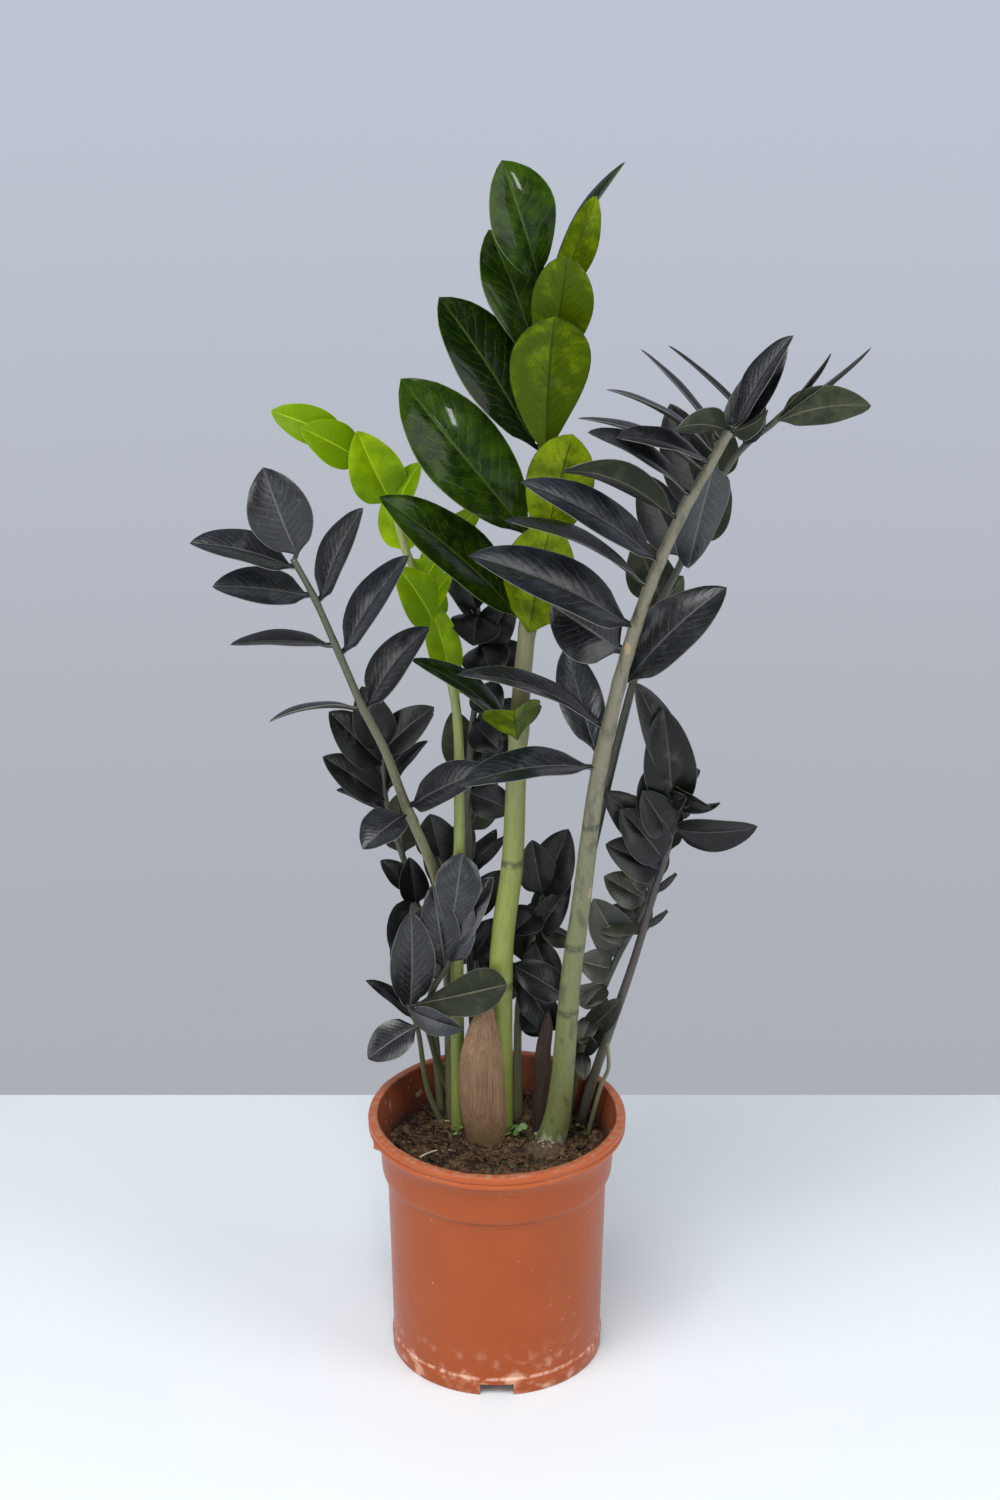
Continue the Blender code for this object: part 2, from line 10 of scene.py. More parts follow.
import bmesh
import bpy
from mathutils import Matrix, Vector, noise


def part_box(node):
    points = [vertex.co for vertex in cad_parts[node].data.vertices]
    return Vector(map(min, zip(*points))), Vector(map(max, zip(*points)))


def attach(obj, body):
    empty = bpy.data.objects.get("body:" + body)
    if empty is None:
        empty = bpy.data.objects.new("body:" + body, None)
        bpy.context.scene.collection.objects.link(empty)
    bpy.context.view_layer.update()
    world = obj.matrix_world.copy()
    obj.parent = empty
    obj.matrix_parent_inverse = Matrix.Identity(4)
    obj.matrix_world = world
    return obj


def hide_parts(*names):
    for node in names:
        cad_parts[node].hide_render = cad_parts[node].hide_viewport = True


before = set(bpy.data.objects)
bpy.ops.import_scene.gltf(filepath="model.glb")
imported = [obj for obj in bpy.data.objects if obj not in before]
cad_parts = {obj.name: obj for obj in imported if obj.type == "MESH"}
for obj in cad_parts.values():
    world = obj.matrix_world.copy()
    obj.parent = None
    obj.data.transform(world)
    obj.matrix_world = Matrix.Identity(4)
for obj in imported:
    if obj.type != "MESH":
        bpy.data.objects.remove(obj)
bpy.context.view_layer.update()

# The pot: one thin wall of orange-brown polypropylene, injection moulded, with a rolled lip, a slightly wider
# collar below it, and a foot ring notched for water. It is scuffed, dusty at the foot and stained inside.
MM = 0.001
pot_low, pot_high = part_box("pot")
AXIS = Vector(((pot_low.x + pot_high.x) / 2, (pot_low.y + pot_high.y) / 2, pot_low.z))
POT_TURNS = 192
FOOT_RADIUS = 70.6
FOOT_STEP = 12.4
COLLAR_STEP = 133.6
NOTCH_HALF_WIDTH = 11.2
NOTCH_HEIGHT = 8.5
DRAINS = 6
DRAIN_CIRCLE = 44
DRAIN_RADIUS = 5
TEAR_TURN = 5.08
TEAR_HEIGHT = 167


class Value:
    """A number that varies over a surface. Sums and products of it add the nodes that work them out."""

    def __init__(self, paint, socket):
        self.paint = paint
        self.socket = socket

    def work(self, operation, first, second=0.0):
        return self.paint.node("Math", {"operation": operation}, {0: first, 1: second})

    def __add__(self, other):
        return self.work("ADD", self, other)

    def __radd__(self, other):
        return self.work("ADD", other, self)

    def __sub__(self, other):
        return self.work("SUBTRACT", self, other)

    def __rsub__(self, other):
        return self.work("SUBTRACT", other, self)

    def __mul__(self, other):
        return self.work("MULTIPLY", self, other)

    def __rmul__(self, other):
        return self.work("MULTIPLY", other, self)

    def __gt__(self, other):
        return self.work("GREATER_THAN", self, other)

    def __abs__(self):
        return self.work("ABSOLUTE", self)


class Paint:
    """The nodes of one material, or of the studio's air."""

    def __init__(self, holder):
        holder.use_nodes = True
        self.holder = holder
        self.tree = holder.node_tree

    def fill(self, node, inputs):
        """Gives sockets their numbers, colours or links."""
        for key, value in inputs.items():
            if isinstance(value, Value):
                self.tree.links.new(value.socket, node.inputs[key])
            elif isinstance(value, tuple) and node.inputs[key].type == "RGBA":
                node.inputs[key].default_value = (*value, 1.0)
            else:
                node.inputs[key].default_value = value

    def node(self, kind, settings, inputs, output=0):
        """Adds a node, with its settings first and then its sockets, and gives one of its outputs."""
        node = self.tree.nodes.new("ShaderNode" + kind)
        for key, value in settings.items():
            setattr(node, key, value)
        self.fill(node, inputs)
        return Value(self, node.outputs[output])

    def blend(self, share, first, second):
        """The first colour where share is 0, the second where it is 1."""
        return self.node("Mix", {"data_type": "RGBA"}, {0: share, 6: first, 7: second}, 2)

    def rise(self, value, low, high):
        """A soft step from 0 at low to 1 at high; low may be the larger of the two."""
        limits = {"Value": value, "From Min": low, "From Max": high}
        return self.node("MapRange", {"interpolation_type": "SMOOTHSTEP"}, limits)

    def spot(self, size, stretch=(1, 1, 1)):
        """The place on the object, counted in patches about size millimetres across."""
        where = self.node("TexCoord", {}, {}, "Object")
        scale = tuple(1 / (size * s * MM) for s in stretch)
        return self.node("VectorMath", {"operation": "MULTIPLY"}, {0: where, 1: scale})

    def mottle(self, size, stretch=(1, 1, 1), detail=3.0):
        """Soft irregular patches, from 0 to 1."""
        where = self.spot(size, stretch)
        return self.node("TexNoise", {}, {"Vector": where, "Scale": 1.0, "Detail": detail})

    def specks(self, size, share, few=0.55):
        """1 on small scattered specks, on cells about size millimetres apart, that keep to patches."""
        cell = self.node("TexVoronoi", {}, {"Vector": self.spot(size), "Scale": 1.0}, "Distance")
        return self.rise(cell, share, share * 0.6) * self.rise(self.mottle(size * 6), few, few + 0.08)

    def height(self):
        """How far up the object a point is, in millimetres."""
        where = self.node("TexCoord", {}, {}, "Object")
        return self.node("SeparateXYZ", {}, {0: where}, "Z") * (1 / MM)

    def surface(self, colour, roughness, relief=None, depth=0.0):
        """Sets the shader's colour and roughness, and lets it rise by depth millimetres where relief is 1."""
        looks = {"Base Color": colour, "Roughness": roughness}
        if relief:
            looks["Normal"] = self.node("Bump", {}, {"Distance": depth * MM, "Height": relief}, "Normal")
        self.fill(self.shader, looks)


def finish(name, specular=0.5, coat=0.0, coat_roughness=0.03):
    """A new material: how strongly it mirrors, and the clear coat on it."""
    paint = Paint(bpy.data.materials.new(name))
    paint.shader = paint.tree.nodes["Principled BSDF"]
    looks = {"Specular IOR Level": specular, "Coat Weight": coat, "Coat Roughness": coat_roughness}
    paint.fill(paint.shader, looks)
    return paint


def place(name, bm, *finishes, slot=None, nodes=()):
    """Makes an object of a mesh in millimetres round the pot's axis, and hides the CAD nodes it replaces."""
    bmesh.ops.transform(bm, matrix=Matrix.Translation(AXIS) @ Matrix.Scale(MM, 4), verts=bm.verts)
    bmesh.ops.recalc_face_normals(bm, faces=bm.faces)
    mesh = bpy.data.meshes.new(name)
    bm.to_mesh(mesh)
    bm.free()
    mesh.shade_smooth()
    mesh.set_sharp_from_angle(angle=math.radians(48))
    for paint in finishes:
        mesh.materials.append(paint.holder)
    piece = bpy.data.objects.new(name, mesh)
    bpy.context.scene.collection.objects.link(piece)
    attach(piece, "root")
    if nodes:
        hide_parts(*nodes)
    return piece


outside_profile = [
    (79, 175.6), (79.8, 176), (82.6, 176), (84, 175.6), (84.7, 174.8), (85, 173.6), (84.8, 171.2),
    (83.9, 170.3), (84.7, 169.5), (85, 168.2), (84.6, 166.9), (83.6, 166.1), (82, 165.5), (80.4, 164.4),
    (79.3, 162.6), (78.4, 160.4), (77.6, 158), (77.1, 155), (76.8, 148), (76.5, 141), (76.2, 137.6),
    (75.7, 135.6), (74.4, 134.3), (73.2, 133.4), (72.7, 131.8), (72.5, 129), (72.2, 124), (71.6, 98),
    (71, 70), (70.4, 44), (69.9, 24), (69.6, 14), (69.7, 12.4), (70.3, 11.6), (70.6, 10.6), (70.6, 5),
    (70.6, 1), (70.3, 0.2), (69.8, 0), (66.6, 0), (66, 0.4), (66, 8.6), (65.4, 9), (0, 9),
]
inside_profile = [
    (0, 11), (66, 11), (67.4, 11.6), (68, 13), (70.6, 128), (74, 136), (74.8, 141), (75.3, 156),
    (76.4, 164), (77.8, 170), (78.4, 173.6), (78.6, 174.9),
]


def pot_turns():
    """Angles round the pot from its front, with a close pair at either side of each foot notch."""
    edge = math.asin(NOTCH_HALF_WIDTH / FOOT_RADIUS)
    turns = {2 * math.pi * i / POT_TURNS for i in range(POT_TURNS)}
    for quarter in range(4):
        for side in (-1, 1):
            turn = (quarter * math.pi / 2 + side * edge) % (2 * math.pi)
            turns |= {turn - 0.0015, turn + 0.0015}
    return sorted(turns)


def in_notch(turn):
    off = (turn + math.pi / 4) % (math.pi / 2) - math.pi / 4
    return abs(math.sin(off)) < NOTCH_HALF_WIDTH / FOOT_RADIUS


def moulded(radius, height, turn):
    """A point of the pot's skin: the profile, a little out of true, raised over the notches in the foot, and
    torn outwards at one place under the lip.
    """
    if in_notch(turn) and height < NOTCH_HEIGHT and radius > 60:
        height = NOTCH_HEIGHT
    round_it = Vector((2 * math.sin(turn), 2 * math.cos(turn), height / 45))
    lip = max(0.0, min(1.0, (height - 150) / 16))
    radius += (0.3 + 0.45 * lip) * noise.noise(round_it) * min(1.0, radius / 60)
    height += 0.5 * lip * noise.noise(3 * round_it)
    torn = math.exp(-(((turn - TEAR_TURN) / 0.035) ** 2) - ((height - TEAR_HEIGHT) / 3) ** 2)
    radius += (1.8 * torn) if radius > 80 else 0
    return Vector((radius * math.sin(turn), -radius * math.cos(turn), height - 1.6 * torn))


def join(bm, rings, material=0):
    """Faces between rings of corners; a ring that is one corner repeated closes to a point."""
    for ring, after in zip(rings, rings[1:]):
        for i in range(len(ring)):
            corners = dict.fromkeys((ring[i - 1], ring[i], after[i], after[i - 1]))
            if len(corners) > 2:
                bm.faces.new(list(corners)).material_index = material


bm = bmesh.new()
turns = pot_turns()
rings = []
for radius, height in outside_profile + inside_profile:
    if radius == 0:
        rings.append([bm.verts.new((0, 0, height))] * len(turns))
    else:
        rings.append([bm.verts.new(moulded(radius, height, turn)) for turn in turns])
inside = len(outside_profile) + 1
join(bm, rings[: inside + 1])
join(bm, rings[inside:] + rings[:1], 1)

plastic = finish("pot_plastic", 0.24)
up = plastic.height()
patches = plastic.mottle(38)
cloud = plastic.mottle(9, detail=5.0)
streaks = plastic.mottle(2.2, (1, 1, 14), 4.0)
scrape = plastic.mottle(1.1, (7, 7, 1), 3.0)
faded_and_lit_lip = plastic.blend(patches * 0.8 + cloud * 0.2, (0.285, 0.056, 0.012), (0.36, 0.080, 0.020))
# Painted highlight: the lip is painted a lighter orange from 163 mm up, standing in for the light the rolled
# lip catches.
faded_and_lit_lip = plastic.blend(plastic.rise(up, 163, 168) * 0.6, faded_and_lit_lip, (0.44, 0.10, 0.03))
# Painted shade with dirt: a broken dark line painted in the crease under the collar's overhang.
collar_shade_and_dirt = plastic.rise(abs(up - COLLAR_STEP), 1.3, 0.3) * plastic.rise(plastic.mottle(5), 0.4, 0.62)
faded_and_lit_lip = plastic.blend(collar_shade_and_dirt * 0.85, faded_and_lit_lip, (0.10, 0.04, 0.025))
chalk = plastic.rise(up, 42, 6) * plastic.rise(cloud, 0.5, 0.72)
chalk = chalk + plastic.rise(abs(up - FOOT_STEP), 1.5, 0.5) * plastic.rise(plastic.mottle(6), 0.36, 0.6)
chalk = chalk * 0.5 + plastic.rise(up, 12, 4) * plastic.rise(plastic.mottle(14), 0.5, 0.75) * 0.4
dusty = plastic.rise(up, 174.8, 175.8) * plastic.rise(plastic.mottle(4, detail=5.0), 0.35, 0.7)
scuffs = plastic.rise(scrape, 0.68, 0.78) * plastic.rise(plastic.mottle(16), 0.55, 0.66)
scuffs = scuffs + plastic.rise(streaks, 0.7, 0.8) * plastic.rise(plastic.mottle(21), 0.56, 0.66)
chips = plastic.specks(4.2, 0.11, 0.55)
worn = plastic.blend(chalk, faded_and_lit_lip, (0.80, 0.52, 0.40))
worn = plastic.blend(dusty * 0.7, worn, (0.36, 0.22, 0.15))
worn = plastic.blend(scuffs * 0.3, worn, (0.80, 0.50, 0.38))
worn = plastic.blend(chips * 0.6, worn, (0.85, 0.70, 0.60))
relief = scuffs * 0.3 + chips * 0.6 + chalk * 0.4
plastic.surface(worn, 0.3 + cloud * 0.05 + chalk * 0.3 + dusty * 0.3, relief, 0.12)

# The inside wall, where wet peat has dried on in brown stains and pale splashes.
stained = finish("pot_inside", 0.4)
splash = stained.rise(stained.mottle(5, detail=5.0), 0.58, 0.68)
splash = splash * stained.rise(stained.mottle(24), 0.48, 0.6)
soil_line = stained.rise(stained.height() + stained.mottle(13) * 26, 176, 156)
wall = stained.blend(stained.mottle(18), (0.16, 0.036, 0.014), (0.26, 0.066, 0.027))
wall = stained.blend(soil_line * 0.85, wall, (0.035, 0.02, 0.014))
wall = stained.blend(splash * 0.6, wall, (0.55, 0.42, 0.32))
stained.surface(wall, 0.45 + soil_line * 0.4, splash + soil_line, 0.3)

pot = place("nursery_pot", bm, plastic, stained, slot="pot_plastic", nodes=["pot"])
bm = bmesh.new()
for i in range(DRAINS):
    turn = 2 * math.pi * (i + 0.5) / DRAINS
    centre = Matrix.Translation((DRAIN_CIRCLE * math.cos(turn), DRAIN_CIRCLE * math.sin(turn), 10))
    bmesh.ops.create_cone(
        bm, cap_ends=True, segments=24, radius1=DRAIN_RADIUS, radius2=DRAIN_RADIUS, depth=8, matrix=centre
    )
drill = place("drain_drill", bm, plastic)
drilling = pot.modifiers.new("Drains", "BOOLEAN")
drilling.object = drill
drilling.solver = "EXACT"
drilled = pot.evaluated_get(bpy.context.evaluated_depsgraph_get())
pot.data = bpy.data.meshes.new_from_object(drilled)
pot.modifiers.remove(drilling)
bpy.data.objects.remove(drill)

# The peat: damp, dark and fibrous, heaped a little round the stems, with loose crumbs and bits of root lying
# on it. The plug under the crumbs fills the pot.
SOIL_TOP = 146
SOIL_RADIUS = 74.4
SOIL_RINGS = 45
SOIL_TURNS = 120
CRUMBS = 2300
FIBRES = 420
HEAPS = [(31, -7, 6, 13), (-7, 6, 2.5, 20), (6, 20, 2, 12), (-58, 8, 4, 16), (58, -12, 3, 14), (0, 62, 3, 20)]


def soil_height(x, y):
    """How high the peat's lumpy top is at a place, in millimetres."""
    lumps = 2.4 * noise.noise(Vector((x, y, 0)) / 19) + 1.3 * noise.noise(Vector((x, y, 40)) / 6)
    heaps = sum(high * math.exp(-((x - a) ** 2 + (y - b) ** 2) / wide**2) for a, b, high, wide in HEAPS)
    return SOIL_TOP - 1.2 + lumps + heaps


bm = bmesh.new()
rings = [[bm.verts.new((0, 0, soil_height(0, 0)))] * SOIL_TURNS]
turns = [2 * math.pi * i / SOIL_TURNS for i in range(SOIL_TURNS)]
for k in range(1, SOIL_RINGS + 1):
    radius = SOIL_RADIUS * k / SOIL_RINGS
    spots = [(radius * math.cos(a), radius * math.sin(a)) for a in turns]
    rings.append([bm.verts.new((x, y, soil_height(x, y))) for x, y in spots])
for radius, height in ((SOIL_RADIUS, 140), (73.7, 136.5), (70.3, 129.5), (67.6, 13.5), (65.6, 11.3)):
    rings.append([bm.verts.new((radius * math.cos(a), radius * math.sin(a), height)) for a in turns])
join(bm, rings)
bm.faces.new(rings[-1])


def peat_finish(name, tone):
    """Damp peat: near-black brown, paler and redder where dry. tone names a value kept on each crumb."""
    peat = finish(name, 0.25)
    grain = peat.mottle(1.6, detail=5.0)
    dry = peat.rise(peat.mottle(13, detail=4.0), 0.42, 0.7)
    if tone:
        dry = dry * 0.5 + peat.node("Attribute", {"attribute_name": tone}, {}, "Fac") * 0.75
    brown = peat.blend(dry, (0.015, 0.0095, 0.006), (0.16, 0.095, 0.048))
    brown = peat.blend(peat.rise(grain, 0.52, 0.7) * 0.7, brown, (0.24, 0.145, 0.08))
    fibre = peat.mottle(0.5, (6, 1, 1), 3.0)
    peat.surface(brown, 0.75 + grain * 0.25, grain + fibre * 0.5, 1.0)
    return peat


place("peat", bm, peat_finish("damp_peat", None), slot="soil_peat", nodes=["soil"])


def tube(bm, line, radii, sides, material=0):
    """A closed round stem, root or thread through a line of points, rounded off at its far end."""
    side = Vector((1, 0.02, 0.01))
    rings = []
    for i, point in enumerate(line):
        along = (line[min(i + 1, len(line) - 1)] - line[max(i - 1, 0)]).normalized()
        side = (side - along * side.dot(along)).normalized()
        other = along.cross(side)
        turns = [2 * math.pi * k / sides for k in range(sides)]
        spots = [point + radii[i] * (math.cos(a) * side + math.sin(a) * other) for a in turns]
        rings.append([bm.verts.new(spot) for spot in spots])
    rings.append([bm.verts.new(line[-1] + along * radii[-1] * 0.7)] * sides)
    join(bm, rings, material)
    bm.faces.new(rings[0]).material_index = material


def ball(subdivisions):
    """The corners and faces of a small ball, to be copied for every crumb."""
    one = bmesh.new()
    bmesh.ops.create_icosphere(one, subdivisions=subdivisions, radius=0.5)
    corners = [vert.co.copy() for vert in one.verts]
    faces = [[vert.index for vert in face.verts] for face in one.faces]
    one.free()
    return corners, faces


dice = random.Random(11)
noise.seed_set(11)  # noise_vector has new lumps each run unless it is given a seed
balls = {1: ball(1), 2: ball(2)}
bm = bmesh.new()
tone_layer = bm.verts.layers.float.new("tone")
for i in range(CRUMBS):
    radius = 73 * math.sqrt(dice.random())
    turn = dice.uniform(0, 2 * math.pi)
    x, y = radius * math.cos(turn), radius * math.sin(turn)
    size = 1.3 + 3.9 * dice.random() ** 2.6
    spin = Matrix.Rotation(dice.uniform(0, 6.3), 4, Vector((dice.random(), dice.random(), 1)))
    shape = Matrix.Diagonal((size * dice.uniform(0.8, 1.7), size, size * dice.uniform(0.5, 0.9), 1))
    put = Matrix.Translation((x, y, soil_height(x, y) + 0.2 * size)) @ spin @ shape
    tone = dice.random() ** 2
    corners, faces = balls[2 if size > 2.4 else 1]
    crumb = []
    for corner in corners:
        spot = put @ corner
        crumb.append(bm.verts.new(spot + 0.35 * size * noise.noise_vector(spot / size)))
        crumb[-1][tone_layer] = tone
    for face in faces:
        bm.faces.new([crumb[i] for i in face])
for i in range(FIBRES):
    radius = 71 * math.sqrt(dice.random())
    turn = dice.uniform(0, 2 * math.pi)
    x, y = radius * math.cos(turn), radius * math.sin(turn)
    heading = dice.uniform(0, 2 * math.pi)
    length = dice.uniform(4, 13)
    curl = dice.uniform(-0.5, 0.5)
    line = []
    for k in range(6):
        x += length / 5 * math.cos(heading + curl * k * 0.5)
        y += length / 5 * math.sin(heading + curl * k * 0.5)
        line.append(Vector((x, y, soil_height(x, y) + 0.5 + 0.8 * dice.random())))
    if max(p.xy.length for p in line) < 73:
        before = len(bm.verts)
        tube(bm, line, [dice.uniform(0.18, 0.5)] * 6, 5)
        tone = 0.5 + 0.7 * dice.random()
        bm.verts.ensure_lookup_table()
        for vert in bm.verts[before:]:
            vert[tone_layer] = tone
place("peat_crumbs", bm, peat_finish("loose_peat", "tone"), slot="soil_peat")

# The tallest stem: bright yellow-green, thick and fleshy at the foot, with dark rings where old sheaths sat.
# Its leaflets are the largest and greenest. Glossy upper sides show on the left, bright undersides in front.
FRONT = Vector((0.0, -0.91, 0.41))
SOIL_FOOT = SOIL_TOP + 0.3
PETIOLE_HALF_WIDTH = 1.3
BLADE_BODY = 0.85
BLADE_EDGE = 0.34
ROWS = 20
COLUMNS = (-1, -0.95, -0.8, -0.6, -0.38, -0.18, -0.06, 0, 0.06, 0.18, 0.38, 0.6, 0.8, 0.95, 1)


def bend(a, b, c, d, t):
    """A point of the smooth curve through four others, a share t of the way from the second to the third."""
    square = (2 * a - 5 * b + 4 * c - d) * t**2
    return 0.5 * (2 * b + (c - a) * t + square + (3 * b - a - 3 * c + d) * t**3)


def through(points, step):
    """Points about step apart on the smooth curve that passes through the given ones."""
    points = [Vector(p) for p in points]
    ends = [2 * points[0] - points[1]] + points + [2 * points[-1] - points[-2]]
    curve = []
    for a, b, c, d in zip(ends, ends[1:], ends[2:], ends[3:]):
        count = max(1, round((c - b).length / step))
        curve += [bend(a, b, c, d, k / count) for k in range(count)]
    return curve + [points[-1]]


def shaft(points, radii, flare=0.0):
    """A stem's centre line from its place on the soil, and its radius at each point, thinning to the last."""
    line = through([(*points[0], SOIL_FOOT), *points[1:]], 4)
    run = [0.0]
    for a, b in zip(line, line[1:]):
        run.append(run[-1] + (b - a).length)
    share = [x / run[-1] for x in run]
    return line, [radii[0] + (radii[1] - radii[0]) * s + flare * math.exp(-30 * s) for s in share]


def on_stem(stem, height):
    """The point, direction and radius where a stem passes a height."""
    line, radii = stem
    for i in range(len(line) - 1):
        low, high = line[i], line[i + 1]
        if low.z <= height <= high.z:
            t = (height - low.z) / max(high.z - low.z, 1e-6)
            return low.lerp(high, t), (high - low).normalized(), radii[i] * (1 - t) + radii[i + 1] * t
    return line[-1], (line[-1] - line[-2]).normalized(), radii[-1]


def stalk(bm, stem, leaves, sides, material):
    """A stem, buried a little at its foot and swollen a little where each leaflet leaves it."""
    line, radii = stem
    knots = [leaf[0] for leaf in leaves]
    swollen = []
    for point, radius in zip(line, radii):
        swell = sum(math.exp(-(((point.z - knot) / 4) ** 2)) for knot in knots)
        swollen.append(radius * (1 + 0.1 * min(swell, 1.2)) * (1 + 0.025 * noise.noise(point / 14)))
    buried = line[0] - Vector((0, 0, 9))
    tube(bm, [buried] + line, [radii[0]] + swollen, sides, material)


def outline(s, widest):
    """A blade's half width along its midrib, as a share of the widest: a wedge at the foot, then an oval."""
    oval = max(0.0, math.sin(math.pi * s ** (math.log(0.5) / math.log(widest)))) ** 0.62
    wedge = min(1.0, 0.34 + s / 0.25)
    point = 1 - 0.22 * max(0.0, (s - 0.9) / 0.1)
    return oval * wedge * point


def blade(bm, root, foot, dice, reach, width, face, arch=0.07, fold=14, widest=0.45):
    """One leaflet, from its root inside the stem, through its foot, to its tip at foot + reach.

    face turns its upper side from the front, in degrees; arch bows the midrib towards the upper side, as a
    share of the length; fold lifts the two halves; widest is how far along it is widest.
    """
    reach = Vector(reach)
    length = reach.length
    along = reach / length
    upper = (FRONT - along * FRONT.dot(along)).normalized()
    upper = Matrix.Rotation(math.radians(face), 3, along) @ upper
    side = along.cross(upper)
    lift = math.tan(math.radians(fold))
    sway = dice.uniform(-0.018, 0.018) * length
    skew = dice.uniform(-0.045, 0.045)
    waves = dice.uniform(1.2, 2.4)
    start = dice.uniform(0, 6.3)
    map_layer = bm.loops.layers.uv["blade"]
    tone_layer = bm.verts.layers.float["tone"]
    tone = dice.random()
    spots = {}

    def vertex(point, x, s):
        made = bm.verts.new(point)
        made[tone_layer] = tone
        spots[made] = (0.5 + 0.5 * x, s)
        return made

    rows = []
    for i in range(ROWS):
        t = i / ROWS
        s = t - 0.045 * math.sin(2 * math.pi * t)
        bow = 4 * s * (1 - s)
        mid = foot + reach * s + upper * (arch * length * bow) + side * (sway * bow) if i else root
        stalk_half = PETIOLE_HALF_WIDTH * (1 + 0.5 * math.exp(-s * length / 2))
        halves = [max(stalk_half, width / 2 * outline(s, widest + lean)) for lean in (skew, -skew)]
        stalky = math.exp(-s * length / 5)
        tops = []
        unders = []
        for x in COLUMNS:
            half = halves[int(x > 0)]
            rise = lift * half * abs(x) + 0.05 * half * math.sin(math.pi * abs(x)) * (1 - stalky)
            rise += 0.035 * half * x * x * math.sin(start + waves * 2 * math.pi * s + (1.3 if x > 0 else 0))
            thick = BLADE_EDGE + (BLADE_BODY * (1 - 0.4 * s) - BLADE_EDGE) * (1 - x**4)
            round_part = 1.5 * stalky * math.sqrt(max(0.0, 1 - x * x))
            rib = 0.75 * (1 - s) * math.exp(-((x * half / 1.1) ** 2))
            centre = mid + side * (x * half) + upper * rise
            tops.append(vertex(centre + upper * (thick + round_part) / 2, x, s))
            unders.append(vertex(centre - upper * ((thick + round_part) / 2 + rib), x, s))
        rows.append((tops, unders))
    tip = vertex(foot + reach, 0, 1)

    def skin(corners, material):
        made = bm.faces.new(corners)
        made.material_index = material
        for loop in made.loops:
            loop[map_layer].uv = spots[loop.vert]

    last = len(COLUMNS) - 1
    for (tops, unders), (next_tops, next_unders) in zip(rows, rows[1:]):
        for k in range(last):
            skin((tops[k], tops[k + 1], next_tops[k + 1], next_tops[k]), 0)
            skin((unders[k], next_unders[k], next_unders[k + 1], unders[k + 1]), 1)
        for k in (0, last):
            skin((tops[k], next_tops[k], next_unders[k], unders[k]), 0)
    tops, unders = rows[-1]
    for k in range(last):
        skin((tops[k], tops[k + 1], tip), 0)
        skin((unders[k], tip, unders[k + 1]), 1)
    for k in (0, last):
        skin((tops[k], tip, unders[k]), 0)
    skin(rows[0][0] + rows[0][1][::-1], 0)


def leafy():
    """An empty mesh that can hold blades."""
    bm = bmesh.new()
    bm.loops.layers.uv.new("blade")
    bm.verts.layers.float.new("tone")
    return bm


def blade_finish(name, young, old, vein, rib, rim, roughness, veins, relief, dust, gloss):
    """One side of a leaflet: mottled from young to old, with a midrib, side veins, an edge line and dust.

    veins is how strongly the side veins show, and relief how far the flesh swells between them, in
    millimetres. gloss is the finish's mirroring and, where it has one, its clear coat.
    """
    paint = finish(name, *gloss)
    placed = paint.node("UVMap", {"uv_map": "blade"}, {})
    u = paint.node("SeparateXYZ", {}, {0: placed}, "X")
    run = paint.node("SeparateXYZ", {}, {0: placed}, "Y")
    across = abs(u * 2 - 1)
    tone = paint.node("Attribute", {"attribute_name": "tone"}, {}, "Fac")
    cloud = paint.mottle(11)
    fine = paint.mottle(1.3, detail=5.0)
    fan = run * 12 - across * 3.2 + paint.mottle(9) * 1.1 + (u > 0.5) * 0.45
    gap = paint.node("Math", {"operation": "PINGPONG"}, {0: fan, 1: 0.5})
    inner = paint.rise(across, 0.96, 0.5)
    vein_line = paint.rise(gap, 0.045, 0.0) * inner * paint.rise(paint.mottle(14), 0.3, 0.5)
    cells = {"Vector": paint.spot(2.6), "Scale": 1.0}
    net = paint.node("TexVoronoi", {"feature": "DISTANCE_TO_EDGE"}, cells)
    net = paint.rise(net, 0.06, 0.0) * paint.rise(paint.mottle(8), 0.42, 0.62)
    rib_line = paint.rise(across, 0.055, 0.015)
    age = paint.rise(tone * 0.45 + cloud * 1.1 + fine * 0.3 - run * 0.25, 0.3, 0.95)
    colour = paint.blend(age, young, old)
    colour = paint.blend(vein_line * veins + net * (veins * 0.4), colour, vein)
    colour = paint.blend(rib_line * 0.7, colour, rib)
    colour = paint.blend(paint.rise(across, 0.965, 0.995) * 0.7, colour, rim)
    grit = paint.specks(2.6, 0.12, 0.63)
    haze = paint.rise(paint.mottle(12, detail=5.0), 0.54, 0.76) * paint.rise(across, 0.75, 0.1)
    colour = paint.blend(grit * dust + haze * (dust * 0.16), colour, (0.34, 0.34, 0.30))
    quilt = paint.rise(gap, 0.0, 0.45) * inner
    swell = quilt * (1 - rib_line) * 0.36 + cloud * 1.6 + fine * 0.16 + paint.mottle(4.5) * 0.9
    paint.surface(colour, roughness + fine * 0.14 + haze * 0.12 - 0.07, swell, relief)
    return paint


